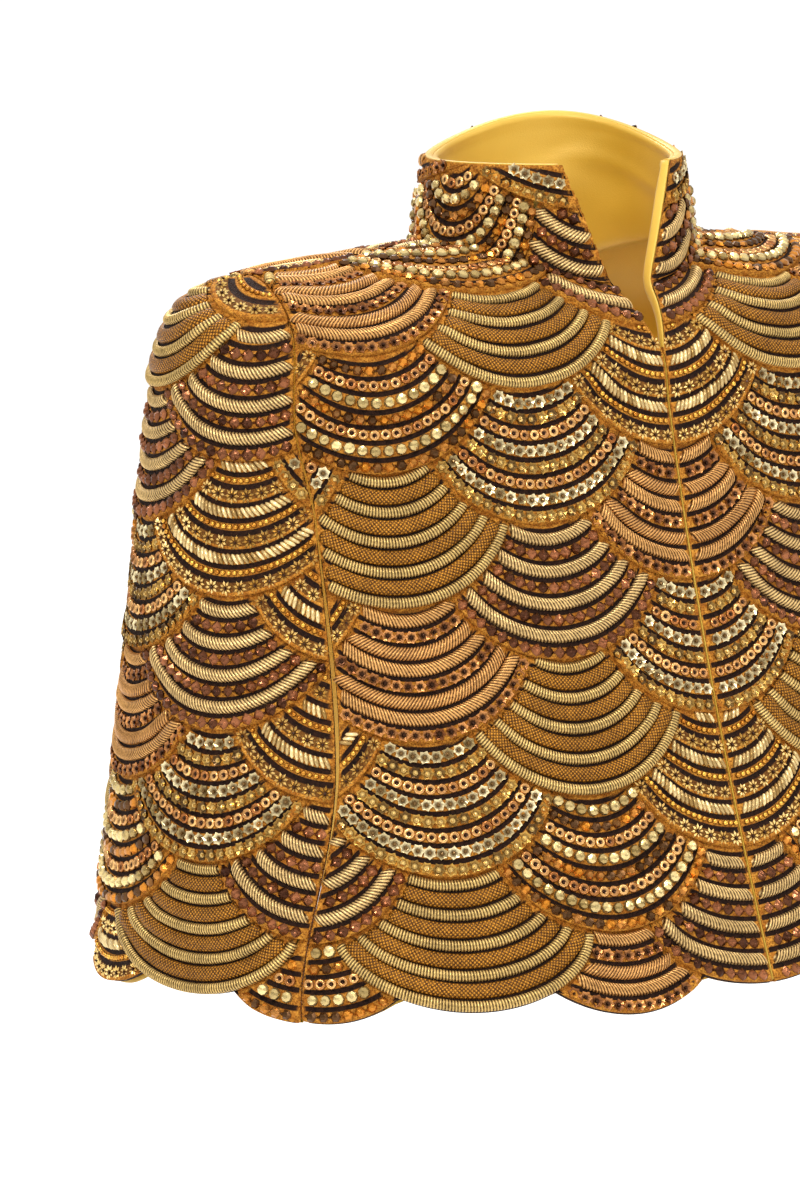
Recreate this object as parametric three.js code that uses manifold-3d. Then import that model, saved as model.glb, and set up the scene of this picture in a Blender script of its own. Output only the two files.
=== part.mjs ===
// A cape jacket: a stand-collared, hip-length cape cut as two fronts, two side panels that hang over
// the arms, a back and a collar. The cloth is covered with overlapping scallops of padded cords and
// beads, the hem follows the lowest scallops, and an arm slit opens in each front seam.
//
// Millimetres, +Z up. The wearer faces -Y, and +X is the wearer's left. The origin is in the middle of
// the neck, level with the shoulder ridge beside it, where a wearer's neck and shoulders hold it up.
import * as THREE from "three";
import Module from "manifold-3d";

// ---------- driving dimensions ----------
const LENGTH = 377; // drop from the shoulder ridge to the hem
const SHOULDER_HALF = 237; // half width just below the shoulder
const HEM_HALF = 273; // half width at the hem
const SHOULDER_ROUND = 32; // radius of the shoulder's end
const SHOULDER_SLOPE = 0.095; // fall of the ridge for each millimetre outwards
const CORNERS = 2.5; // superellipse exponent of every ring
const FRONT = { roll: 74, depth: 104, flare: 0.23, curve: 0.00032 };
const BACK = { roll: 64, depth: 93, flare: 0.13, curve: 0 };
const WALL = 1.8; // embroidered cloth and its backing
const SEAM_GAP = 1.0; // between neighbouring panels
const RIDGE_GAP = 0.35; // between a front and the back along the shoulder
const CAP = 3; // height of the side panel's closing cap over the shoulder's end

// The front and back seams' distance from the middle plane, by the drop below the ridge.
const SEAM = [
  { drop: 0, out: 197 },
  { drop: 64, out: 209 },
  { drop: 127, out: 205 },
  { drop: 254, out: 211 },
  { drop: 377, out: 240 },
];
const SLIT = { top: 125, bottom: 300, half: 4.6, taper: 1.2 }; // arm slit in the front seam

const NECK = { halfWidth: 77, halfDepth: 73, middle: 2 }; // hole for the collar
const COLLAR = { base: [76.5, 72.5], rim: [70, 66], seat: 3, clear: 5 };
// The rim's lowest level, and how far it rises to its top, which lies a turn of lean from the back.
const COLLAR_HEAD = { level: 45.5, rise: 21, lean: 0.576, bend: 4 };
const OPENING = { bottom: -54, top: 38, half: 33 }; // the V between the front edges
const LINING = 1.0; // satin thickness
const LAYER_GAP = 0.3; // between a lining and the cloth
const FACING = 34; // width of the front facings
const SLIT_LIP = 0.28; // share of the slit's half width that its facings stand out into it

// The scallops: in one column they follow each other by the pitch, and the next column is half a pitch off.
const SCALE = { pitch: 72, radius: 67, frontSpacing: 85, sideSpacing: 74, backSpacing: 83 };
const HEM_ROW = { oddDrop: 7, oddCurve: 0.9, evenCurve: 0.6 }; // the hem's scallops are flatter
const RELIEF = { low: 0.6, pad: 2.6, valley: 1.6, rim: 3.6, edge: 1.2 };
const PROFILE = { pad: 0.62, valley: 0.34, fullLength: 14, fullRim: 6, leastStep: 0.25, leastShown: 1.4 };
const COLUMN_SHARES = [0, 0.14, 0.276, 0.5, 0.724, 0.86]; // of one spacing, with the cusps' places
const COLUMN_REACH = 8; // spacings laid out each side of a panel's first column
const COLUMN_CLEAR = 4; // least distance from a column to the panel's edge
const INNER_STEP = 24; // height of the plain inside's cells
const INNER_LAST = 10; // height of the inside's last row above the hem's notches
const COLLAR_SCALE = { columns: 5, spacing: 93.6, bottom: 37, curve: 0.55 }; // its upper row's rims

// ---------- the body's rings ----------
const depthAt = (side, drop) => {
  const share = Math.min(drop / side.roll, 1);
  const past = Math.max(drop - side.roll, 0);
  return side.depth * Math.sqrt(1 - (1 - share) ** 2) + side.flare * past + side.curve * past * past;
};

const halfWidthAt = (drop) => {
  const share = Math.min(drop / SHOULDER_ROUND, 1);
  const straight = SHOULDER_HALF + ((HEM_HALF - SHOULDER_HALF) * drop) / LENGTH;
  return straight - SHOULDER_ROUND * (1 - Math.sqrt(1 - (1 - share) ** 2));
};

const ridgeFall = (x, drop) =>
  SHOULDER_SLOPE * Math.max(Math.abs(x) - NECK.halfWidth, 0) * Math.max(1 - drop / LENGTH, 0);

// A point of the ring at a drop; turn is 0 at the middle of the front, 90 degrees at the side.
function ringPoint(drop, turn) {
  const power = 2 / CORNERS;
  const x = halfWidthAt(drop) * Math.abs(Math.sin(turn)) ** power;
  const along = Math.abs(Math.cos(turn)) ** power;
  const y = turn < Math.PI / 2 ? -depthAt(FRONT, drop) * along : depthAt(BACK, drop) * along;
  return new THREE.Vector3(x, y, -drop - ridgeFall(x, drop));
}

// Smooth value of a table's column at a drop (Catmull-Rom between its rows).
function tableAt(table, column, drop) {
  const last = table.length - 1;
  let i = 0;
  while (i < last - 1 && drop > table[i + 1].drop) i += 1;
  const value = (k) => table[Math.min(Math.max(k, 0), last)][column];
  const share = (drop - table[i].drop) / (table[i + 1].drop - table[i].drop);
  const [a, b, c, d] = [value(i - 1), value(i), value(i + 1), value(i + 2)];
  const slope = 0.5 * (c - a);
  const next = 0.5 * (d - b);
  const cubic = 2 * b - 2 * c + slope + next;
  const square = -3 * b + 3 * c - 2 * slope - next;
  return b + share * (slope + share * (square + share * cubic));
}

const seamTurn = (drop) =>
  Math.asin(Math.min(tableAt(SEAM, "out", drop) / halfWidthAt(drop), 1) ** (CORNERS / 2));

const slitHalf = (drop) => {
  const share = (drop - SLIT.top) / (SLIT.bottom - SLIT.top);
  return share <= 0 || share >= 1 ? 0 : SLIT.half * Math.sin(Math.PI * share) ** SLIT.taper;
};

// Lengths round a ring from the middle of the front, by turn, kept for each drop.
const RING_STEPS = 160;
const rings = new Map();
function ringLengths(drop) {
  const key = drop.toFixed(6);
  if (rings.has(key)) return rings.get(key);
  const table = [{ turn: 0, length: 0 }];
  let before = ringPoint(drop, 0);
  for (let i = 1; i <= RING_STEPS; i += 1) {
    const turn = (Math.PI * i) / RING_STEPS;
    const here = ringPoint(drop, turn);
    table.push({ turn, length: table[i - 1].length + here.distanceTo(before) });
    before = here;
  }
  rings.set(key, table);
  return table;
}

function interpolate(table, from, to, value) {
  let low = 0;
  let high = table.length - 1;
  while (high - low > 1) {
    const mid = (low + high) >> 1;
    if (table[mid][from] > value) high = mid;
    else low = mid;
  }
  const share = (value - table[low][from]) / (table[high][from] - table[low][from]);
  return table[low][to] + share * (table[high][to] - table[low][to]);
}

const lengthAt = (drop, turn) => interpolate(ringLengths(drop), "turn", "length", turn);
const sideLength = (drop) => lengthAt(drop, Math.PI / 2);

// ---------- panels ----------
// A panel's flat coordinates are x, the length round the ring from its own middle line, and up, the
// height above the hem measured on the cloth. Each has its edges' turns and its scallops' columns.
const PANELS = {
  front: {
    origin: 0,
    from: () => 0,
    to: (drop) => lengthAt(drop, seamTurn(drop)) - SEAM_GAP / 2 - slitHalf(drop),
    spacing: SCALE.frontSpacing,
    first: 0,
    firstIsOdd: false,
    rise: (drop) => DEPTH_SHARE * depthAt(FRONT, drop),
  },
  side: {
    origin: Math.PI / 2,
    from: (drop) => lengthAt(drop, seamTurn(drop)) - sideLength(drop) + SEAM_GAP / 2 + slitHalf(drop),
    to: (drop) => lengthAt(drop, Math.PI - seamTurn(drop)) - sideLength(drop) - SEAM_GAP / 2,
    spacing: SCALE.sideSpacing,
    first: null, // a column stands on the front seam at the hem
    firstIsOdd: true,
    closesOver: true,
    rise: halfWidthAt,
  },
  back: {
    origin: Math.PI,
    from: (drop) => lengthAt(drop, Math.PI - seamTurn(drop)) - lengthAt(drop, Math.PI) + SEAM_GAP / 2,
    to: () => 0,
    spacing: SCALE.backSpacing,
    first: 0,
    firstIsOdd: true,
    rise: (drop) => DEPTH_SHARE * depthAt(BACK, drop),
  },
};

const HEM_SPARE = 12; // the cloth's form goes on this far below the hem's level
const DEPTH_SHARE = 0.9; // of a ring's depth, that its cloth has at the cape's usual places
const DROP_STEPS = 240;
const LEAST_DROP = 1e-5;
for (const panel of Object.values(PANELS)) {
  panel.first ??= panel.from(LENGTH);
  const table = [{ drop: LENGTH + HEM_SPARE, up: -HEM_SPARE }];
  for (let i = 0; i <= DROP_STEPS; i += 1) {
    const drop = LENGTH * (1 - i / DROP_STEPS) ** 3;
    const last = table[table.length - 1];
    const fall = last.drop - drop;
    table.push({ drop, up: last.up + Math.hypot(fall, panel.rise(last.drop) - panel.rise(drop)) });
  }
  const hem = interpolate(table.map((r) => ({ drop: -r.drop, up: r.up })), "drop", "up", -LENGTH);
  panel.heights = table.map((r) => ({ drop: r.drop, up: r.up - hem }));
  panel.top = panel.heights[panel.heights.length - 1].up;
}

const dropOf = (panel, up) => interpolate(panel.heights, "up", "drop", up);

function surfacePoint(panel, x, up) {
  const drop = Math.max(dropOf(panel, up), LEAST_DROP);
  const middle = lengthAt(drop, panel.origin);
  const length = middle + x;
  const total = lengthAt(drop, Math.PI);
  const mirrored = length < 0 || length > total; // just past the middle plane
  const inside = length < 0 ? -length : length > total ? 2 * total - length : length;
  const point = ringPoint(drop, interpolate(ringLengths(drop), "length", "turn", inside));
  if (mirrored) point.x *= -1;
  return point;
}

const NORMAL_STEP = 0.6; // each way from a point, to find the surface's slopes
const NORMAL_TOP = 0.05; // least distance below the panel's top
function surfaceNormal(panel, x, up) {
  const high = Math.min(up + NORMAL_STEP, panel.top - NORMAL_TOP);
  const across = surfacePoint(panel, x + NORMAL_STEP, up).sub(surfacePoint(panel, x - NORMAL_STEP, up));
  const along = surfacePoint(panel, x, high).sub(surfacePoint(panel, x, high - 2 * NORMAL_STEP));
  return across.cross(along).normalize();
}

// ---------- scallops ----------
// The distance from x to the nearest scallop of one parity, or null where none reaches.
function reach(panel, x, odd) {
  const shift = odd === panel.firstIsOdd ? 0 : panel.spacing;
  const period = 2 * panel.spacing;
  const place = (((x - panel.first - shift) % period) + period) % period;
  const distance = Math.min(place, period - place);
  return distance < SCALE.radius ? distance : null;
}

const sag = (distance) => SCALE.radius - Math.sqrt(SCALE.radius ** 2 - distance ** 2);

// Rows from the shoulder down: each lies on the next, and a short odd row fills up the hem.
function scallopRows(top) {
  const rows = [
    { up: -HEM_ROW.oddDrop, odd: true, curve: HEM_ROW.oddCurve },
    { up: 0, odd: false, curve: HEM_ROW.evenCurve },
  ];
  for (let k = 1; k * (SCALE.pitch / 2) < top + SCALE.radius; k += 1) {
    rows.push({ up: (k * SCALE.pitch) / 2, odd: k % 2 === 1, curve: 1 });
  }
  return rows.reverse();
}

// Where each row's rim crosses a column; xAt gives the column's x at a height.
function rowEdges(panel, xAt, top) {
  const edges = [];
  let above = top;
  for (const row of scallopRows(top)) {
    let up = row.up;
    let found = true;
    for (let i = 0; i < 12; i += 1) {
      const distance = reach(panel, xAt(Math.min(Math.max(up, 0), top)), row.odd);
      found = distance !== null;
      if (!found) break;
      up = row.up + row.curve * sag(distance);
    }
    const edge = found ? Math.min(above, up) : above;
    edges.push({ above, edge });
    above = edge;
  }
  return edges;
}

// The points down one column: four for each row, or none new where less of the row shows than leastShown.
function columnPoints(panel, xAt, top) {
  const points = [{ up: top, relief: RELIEF.low }];
  const labels = [0];
  let shown = top; // the height down to which the rows so far are drawn
  const edges = rowEdges(panel, xAt, top);
  edges.forEach(({ edge }, row) => {
    const length = shown - edge;
    const last = row === edges.length - 1;
    const step = shown === top ? 0 : Math.min(RELIEF.edge, length / 3);
    if (length < PROFILE.leastShown && !last) {
      labels.push(points.length - 1, points.length - 1, points.length - 1, points.length - 1);
      return;
    }
    const strength = Math.min(1, length / PROFILE.fullLength);
    const add = (up, relief) => {
      points.push({ up, relief });
      labels.push(points.length - 1);
    };
    add(shown - Math.max(step, PROFILE.leastStep), RELIEF.low);
    add(edge + PROFILE.pad * length, RELIEF.low + (RELIEF.pad - RELIEF.low) * strength);
    add(edge + PROFILE.valley * length, RELIEF.low + (RELIEF.valley - RELIEF.low) * strength);
    add(edge, RELIEF.low + (RELIEF.rim - RELIEF.low) * Math.min(1, length / PROFILE.fullRim));
    shown = edge;
  });
  return { points, labels };
}

// ---------- meshes ----------
// Collects corners and faces; a side's sign turns the faces of a mirrored piece round.
class Shell {
  constructor(mirror) {
    this.corners = [];
    this.faces = [];
    this.mirror = mirror;
  }
  corner(point) {
    this.corners.push(this.mirror * point.x, point.y, point.z);
    return this.corners.length / 3 - 1;
  }
  face(a, b, c) {
    if (a === b || b === c || a === c) return;
    this.faces.push(...(this.mirror > 0 ? [a, b, c] : [a, c, b]));
  }
  quad(a, b, c, d) {
    this.face(a, b, c);
    this.face(a, c, d);
  }
  // A strip between two rows of corners of any lengths; each corner carries its place from 0 to 1.
  zip(first, second) {
    let i = 0;
    let j = 0;
    while (i < first.length - 1 || j < second.length - 1) {
      const goFirst =
        j === second.length - 1 || (i < first.length - 1 && first[i + 1].place <= second[j + 1].place);
      if (goFirst) {
        this.face(first[i].id, second[j].id, first[i + 1].id);
        i += 1;
      } else {
        this.face(first[i].id, second[j].id, second[j + 1].id);
        j += 1;
      }
    }
  }
}

// The x of each column, as a function of height: lattice columns up to the last whole one before an
// edge stay straight, and the rest close up towards the edge where the panel narrows.
function panelColumns(panel) {
  const low = panel.from(LENGTH);
  const high = panel.to(LENGTH);
  const places = [low, high];
  for (let k = -COLUMN_REACH; k <= COLUMN_REACH; k += 1) {
    for (const share of COLUMN_SHARES) {
      const x = panel.first + (k + share) * panel.spacing;
      if (x > low + COLUMN_CLEAR && x < high - COLUMN_CLEAR) places.push(x);
    }
  }
  places.sort((a, b) => a - b);
  const keepLow = panel.origin === Math.PI ? -2 * panel.spacing : 0;
  const keepHigh = panel.origin === 0 ? 2 * panel.spacing : 0;
  return places.map((x) => (up) => {
    const drop = dropOf(panel, up);
    if (x > keepHigh) return keepHigh + ((x - keepHigh) * (panel.to(drop) - keepHigh)) / (high - keepHigh);
    if (x < keepLow) return keepLow + ((x - keepLow) * (panel.from(drop) - keepLow)) / (low - keepLow);
    return x;
  });
}

// The plain inside follows every second column and the last.
const keptColumns = (columns) =>
  columns.map((_, i) => i).filter((i) => i % 2 === 0 || i === columns.length - 1);

// The heights of the inside's rows, which the facings share.
function innerHeights(top) {
  const rows = Math.ceil((top - INNER_LAST) / INNER_STEP);
  return Array.from({ length: rows + 1 }, (_, k) => top + ((INNER_LAST - top) * k) / rows);
}

// Just under 1, so that a strip's outer corners come first on both sides of a seam.
const OUTER_FIRST = 1 - 1e-6;

function panelGeometry(panel, mirror) {
  const shell = new Shell(mirror);
  const top = panel.top - (panel.closesOver ? CAP : RIDGE_GAP) / 2;
  const columns = panelColumns(panel);
  const lift = (x, up, height) =>
    surfacePoint(panel, x, up).addScaledVector(surfaceNormal(panel, x, up), height);

  const outer = columns.map((xAt) => {
    const { points, labels } = columnPoints(panel, xAt, top);
    const ids = points.map((p) => shell.corner(lift(xAt(p.up), p.up, p.relief)));
    const bottom = points[points.length - 1].up;
    const place = (point) => (OUTER_FIRST * (top - point.up)) / (top - bottom);
    const chain = points.map((point, i) => ({ id: ids[i], place: place(point) }));
    return { labels: labels.map((i) => ids[i]), bottom, chain };
  });
  for (let i = 0; i + 1 < outer.length; i += 1) {
    const [a, b] = [outer[i].labels, outer[i + 1].labels];
    for (let k = 0; k + 1 < a.length; k += 1) shell.quad(a[k], a[k + 1], b[k + 1], b[k]);
  }

  const kept = keptColumns(columns);
  const heights = innerHeights(top);
  const innerRows = heights.length;
  const inner = kept.map((i) =>
    [...heights, outer[i].bottom].map((up) => {
      const place = (top - up) / (top - outer[i].bottom);
      return { id: shell.corner(lift(columns[i](up), up, -WALL)), place };
    }),
  );
  for (let i = 0; i + 1 < inner.length; i += 1) {
    const [a, b] = [inner[i], inner[i + 1]];
    for (let k = 0; k < innerRows; k += 1) shell.quad(a[k].id, b[k].id, b[k + 1].id, a[k + 1].id);
  }

  const firstOuter = outer[0].chain;
  const lastOuter = outer[outer.length - 1].chain;
  shell.zip(firstOuter, inner[0]);
  shell.zip(inner[inner.length - 1], lastOuter);
  const across = (list, pick) => list.map((c, i) => ({ id: pick(c), place: i }));
  const topOuter = across(outer, (c) => c.labels[0]);
  const hemOuter = across(outer, (c) => c.labels[c.labels.length - 1]);
  const topInner = inner.map((c, i) => ({ id: c[0].id, place: kept[i] }));
  const hemInner = inner.map((c, i) => ({ id: c[innerRows].id, place: kept[i] }));
  shell.zip(hemOuter, hemInner);
  if (panel.closesOver) closeOver(shell, columns, top, topOuter, topInner);
  else shell.zip(topInner, topOuter);
  return shell;
}

// Over the shoulder's end the panel's top edge is folded, and its two halves are joined.
function closeOver(shell, columns, top, topOuter, topInner) {
  const fold = columns.filter((xAt) => xAt(top) < 0).length;
  const middle = fold - (fold % 2);
  const split = (list) => {
    const at = list.findIndex((c) => c.place === middle);
    const span = list[list.length - 1].place;
    const near = list.slice(0, at + 1).map((c) => ({ id: c.id, place: c.place / middle }));
    const far = list.slice(at).reverse();
    return [near, far.map((c) => ({ id: c.id, place: (span - c.place) / (span - middle) }))];
  };
  const [nearOuter, farOuter] = split(topOuter);
  const [nearInner, farInner] = split(topInner);
  shell.zip(farOuter, nearOuter);
  shell.zip(nearInner, farInner);
  shell.quad(nearOuter[0].id, farOuter[0].id, farInner[0].id, nearInner[0].id);
}

// ---------- collar ----------
// The height of the body's cloth over a point of the plan, by halving the drop.
function bodyHeight(x, y) {
  const side = y < 0 ? FRONT : BACK;
  let low = 0;
  let high = side.roll;
  for (let i = 0; i < 40; i += 1) {
    const drop = (low + high) / 2;
    const share = 1 - (Math.abs(x) / halfWidthAt(drop)) ** CORNERS;
    if (depthAt(side, drop) * share ** (1 / CORNERS) < Math.abs(y)) low = drop;
    else high = drop;
  }
  return -low - ridgeFall(x, low);
}

// A point of the collar's surface: turn 0 is the middle of the front, up is 0 at the neck seam.
function collarSection(turn) {
  const [sin, cos] = [Math.sin(turn), Math.cos(turn)];
  const [baseX, baseY] = [NECK.halfWidth * sin, NECK.middle - NECK.halfDepth * cos];
  const foot = bodyHeight(baseX, baseY);
  const rise = ((1 - Math.cos(turn + COLLAR_HEAD.lean)) / 2) ** COLLAR_HEAD.bend;
  const head = COLLAR_HEAD.level + COLLAR_HEAD.rise * rise;
  return { sin, cos, foot, head };
}

function collarPoint(section, share, out) {
  const { sin, cos, foot, head } = section;
  const ease = Math.max(0, Math.min(share, 1)) ** 0.8;
  const [rx, ry] = [0, 1].map((i) => COLLAR.base[i] + (COLLAR.rim[i] - COLLAR.base[i]) * ease + out);
  return new THREE.Vector3(rx * sin, NECK.middle - ry * cos, foot + (head - foot) * share);
}

const COLLAR_COLUMNS = 60;
const COLLAR_ROWS = [0.3, 0.52, 0.62, 0.7, 0.84, 1]; // shares of the collar's height
const COLLAR_LEDGE = 0.8; // height over which the first scallops rise from the seat

// A closed tube of rows of corners; each row is a function of the section.
function tube(rows, columns) {
  const shell = new Shell(1);
  const sections = Array.from({ length: columns }, (_, i) => {
    const section = collarSection((2 * Math.PI * i) / columns);
    return rows(section, i).map((p) => shell.corner(p));
  });
  sections.forEach((ring, i) => {
    const next = sections[(i + 1) % columns];
    ring.forEach((id, k) => {
      const after = (k + 1) % ring.length;
      shell.quad(id, next[k], next[after], ring[after]);
    });
  });
  return shell;
}

// The collar's relief: an upper row of scallops whose rims lie over a plain lower row.
function collarRelief(section, index, height) {
  const length = section.head - section.foot;
  const place = ((index / COLLAR_COLUMNS) * COLLAR_SCALE.columns) % 1;
  const arc = sag(Math.abs(place - 0.5) * COLLAR_SCALE.spacing);
  const upper = COLLAR_SCALE.bottom + COLLAR_SCALE.curve * arc;
  const [low, high] = height >= upper ? [upper, length] : [COLLAR.clear, upper];
  const share = Math.min(Math.max((height - low) / Math.max(high - low, 1), 0), 1);
  return RELIEF.low + (RELIEF.rim - RELIEF.low) * (1 - share);
}

function collarShell() {
  return tube((section, index) => {
    const length = section.head - section.foot;
    const heights = [COLLAR.clear, ...COLLAR_ROWS.map((share) => share * length)];
    const outside = heights.map((height) =>
      collarPoint(section, height / length, collarRelief(section, index, height)),
    );
    const seat = -COLLAR.seat / length;
    return [
      collarPoint(section, seat, -WALL),
      collarPoint(section, seat, 0),
      collarPoint(section, (COLLAR.clear - COLLAR_LEDGE) / length, 0),
      ...outside,
      collarPoint(section, 1, -WALL),
      collarPoint(section, 0.5, -WALL),
    ];
  }, COLLAR_COLUMNS);
}

function collarLiningShell() {
  const outside = -WALL - LAYER_GAP;
  const inside = outside - LINING;
  return tube((section) => {
    const low = -COLLAR.seat / (section.head - section.foot);
    return [
      collarPoint(section, low, inside),
      collarPoint(section, low, outside),
      collarPoint(section, 0.5, outside),
      collarPoint(section, 1, outside),
      collarPoint(section, 1, inside),
      collarPoint(section, 0.5, inside),
    ];
  }, COLLAR_COLUMNS);
}

// ---------- facings and bindings: made from a panel's points, moved in ----------
// A strip between two x edges and two heights, lying a set depth inside the panel's surface.
function stripShell(panel, mirror, { fromX, toX, heights, outside, thick, columns }) {
  const shell = new Shell(mirror);
  const rows = heights.length - 1;
  const grid = (height) =>
    Array.from({ length: columns + 1 }, (_, i) =>
      Array.from({ length: rows + 1 }, (_, k) => {
        const up = heights[k];
        const x = fromX(up) + ((toX(up) - fromX(up)) * i) / columns;
        const point = surfacePoint(panel, x, up);
        return shell.corner(point.addScaledVector(surfaceNormal(panel, x, up), height));
      }),
    );
  const outer = grid(outside);
  const inner = grid(outside - thick);
  for (let i = 0; i < columns; i += 1) {
    for (let k = 0; k < rows; k += 1) {
      shell.quad(outer[i][k], outer[i][k + 1], outer[i + 1][k + 1], outer[i + 1][k]);
      shell.quad(inner[i][k], inner[i + 1][k], inner[i + 1][k + 1], inner[i][k + 1]);
    }
    shell.quad(outer[i][0], outer[i + 1][0], inner[i + 1][0], inner[i][0]);
    shell.quad(outer[i][rows], inner[i][rows], inner[i + 1][rows], outer[i + 1][rows]);
  }
  for (let k = 0; k < rows; k += 1) {
    shell.quad(outer[0][k], inner[0][k], inner[0][k + 1], outer[0][k + 1]);
    shell.quad(outer[columns][k], outer[columns][k + 1], inner[columns][k + 1], inner[columns][k]);
  }
  return shell;
}

// The strip behind one edge of the arm slit, as wide as the inside's last cell, with a lip in the slit.
function slitFacing(panel, mirror) {
  const columns = panelColumns(panel);
  const kept = keptColumns(columns).map((i) => columns[i]);
  const lip = (up) => SLIT_LIP * slitHalf(dropOf(panel, up));
  const strip = { outside: -WALL - LAYER_GAP, thick: LINING, columns: 1 };
  const top = panel.top - (panel.closesOver ? CAP : RIDGE_GAP) / 2;
  strip.heights = innerHeights(top).filter((up) => {
    const drop = dropOf(panel, up);
    return drop > SLIT.top - INNER_STEP && drop < SLIT.bottom + INNER_STEP;
  });
  if (panel === PANELS.front) {
    strip.fromX = kept[kept.length - 2];
    strip.toX = (up) => kept[kept.length - 1](up) + lip(up);
  } else {
    strip.fromX = (up) => kept[0](up) - lip(up);
    strip.toX = kept[1];
  }
  return stripShell(panel, mirror, strip);
}

// ---------- solids ----------
const wasm = await Module();
wasm.setup();

const solidOf = (shell) =>
  new wasm.Manifold(
    new wasm.Mesh({
      numProp: 3,
      vertProperties: new Float32Array(shell.corners),
      triVerts: new Uint32Array(shell.faces),
    }),
  );

function geometryOf(solid) {
  const mesh = solid.getMesh();
  return new THREE.BufferGeometry()
    .setAttribute("position", new THREE.BufferAttribute(mesh.vertProperties, 3))
    .setIndex(new THREE.BufferAttribute(mesh.triVerts, 1));
}

const solidOfGeometry = (geometry) => {
  const positions = geometry.getAttribute("position").array;
  return new wasm.Manifold(
    new wasm.Mesh({
      numProp: 3,
      vertProperties: new Float32Array(positions),
      triVerts: new Uint32Array(geometry.index.array),
    }),
  );
};

// An upright elliptic block that clears the neck, and the wedge between the front edges.
const NECK_BLOCK = { height: 160, foot: -70, segments: 48 };
const WEDGE = { high: 90, depth: 200, back: -20 };
const HALF_SPACE = { width: 200, depth: 600, height: 900 };
function neckCutter() {
  const shape = new THREE.Shape();
  shape.absellipse(0, NECK.middle, NECK.halfWidth, NECK.halfDepth, 0, 2 * Math.PI);
  const block = new THREE.ExtrudeGeometry(shape, {
    depth: NECK_BLOCK.height,
    curveSegments: NECK_BLOCK.segments,
    bevelEnabled: false,
  });
  return weld(block.translate(0, 0, NECK_BLOCK.foot));
}

function openingCutter() {
  const slope = OPENING.half / (OPENING.top - OPENING.bottom);
  const half = slope * (WEDGE.high - OPENING.bottom);
  const shape = new THREE.Shape([
    new THREE.Vector2(-SEAM_GAP / 2, OPENING.bottom),
    new THREE.Vector2(SEAM_GAP / 2, OPENING.bottom),
    new THREE.Vector2(half, WEDGE.high),
    new THREE.Vector2(-half, WEDGE.high),
  ]);
  const wedge = new THREE.ExtrudeGeometry(shape, { depth: WEDGE.depth, bevelEnabled: false });
  return weld(wedge.rotateX(Math.PI / 2).translate(0, WEDGE.back, 0));
}

// Everything on the wrong side of the middle plane is cut off the fronts, leaving the closing gap.
function middleCutter() {
  const block = new THREE.BoxGeometry(HALF_SPACE.width, HALF_SPACE.depth, HALF_SPACE.height);
  return weld(block.translate((SEAM_GAP - HALF_SPACE.width) / 2, 0, 0));
}

function weld(geometry) {
  const flat = geometry.index ? geometry.toNonIndexed() : geometry;
  const array = flat.getAttribute("position").array;
  const seen = new Map();
  const corners = [];
  const faces = [];
  for (let i = 0; i < array.length; i += 3) {
    const key = [0, 1, 2].map((k) => Math.round(array[i + k] * 1e3)).join();
    if (!seen.has(key)) {
      seen.set(key, corners.length / 3);
      corners.push(array[i], array[i + 1], array[i + 2]);
    }
    faces.push(seen.get(key));
  }
  const merged = new THREE.BufferGeometry().setAttribute(
    "position",
    new THREE.BufferAttribute(new Float32Array(corners), 3),
  );
  merged.setIndex(faces);
  return solidOfGeometry(merged);
}

const CLOTH = { color: 0xa2701f, roughness: 0.55, metalness: 0.35 };
const SATIN = { color: 0xd9a632, roughness: 0.38, metalness: 0.0 };

const jacket = new THREE.Group();
jacket.name = "cape_jacket";

function addPiece(name, solid, look) {
  const mesh = new THREE.Mesh(geometryOf(solid), new THREE.MeshStandardMaterial(look));
  mesh.name = name;
  jacket.add(mesh);
}

const neck = neckCutter();
const opening = openingCutter();
const halves = [
  { name: "right", mirror: -1 },
  { name: "left", mirror: 1 },
];

for (const { name, mirror } of halves) {
  const front = solidOf(panelGeometry(PANELS.front, mirror));
  const middle = mirror > 0 ? middleCutter() : middleCutter().mirror([1, 0, 0]);
  addPiece(`front_${name}`, front.subtract(middle).subtract(neck).subtract(opening), CLOTH);
  addPiece(`side_${name}`, solidOf(panelGeometry(PANELS.side, mirror)), CLOTH);

  const bound = PANELS.front;
  const facing = stripShell(bound, mirror, {
    fromX: () => SEAM_GAP / 2,
    toX: () => FACING,
    heights: innerHeights(bound.top - RIDGE_GAP / 2).slice(1),
    outside: -WALL - LAYER_GAP,
    thick: LINING,
    columns: 2,
  });
  addPiece(`front_facing_${name}`, solidOf(facing).subtract(neck).subtract(opening), SATIN);
  addPiece(`slit_facing_front_${name}`, solidOf(slitFacing(PANELS.front, mirror)), SATIN);
  addPiece(`slit_facing_side_${name}`, solidOf(slitFacing(PANELS.side, mirror)), SATIN);
}

const backRight = solidOf(panelGeometry(PANELS.back, -1));
const backLeft = solidOf(panelGeometry(PANELS.back, 1));
addPiece("back", backRight.add(backLeft).subtract(neck), CLOTH);
addPiece("collar", solidOf(collarShell()).subtract(opening), CLOTH);
addPiece("collar_lining", solidOf(collarLiningShell()).subtract(opening), SATIN);

export default jacket;
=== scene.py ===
import math

import bpy
import numpy as np
from mathutils import Matrix, Vector


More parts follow.
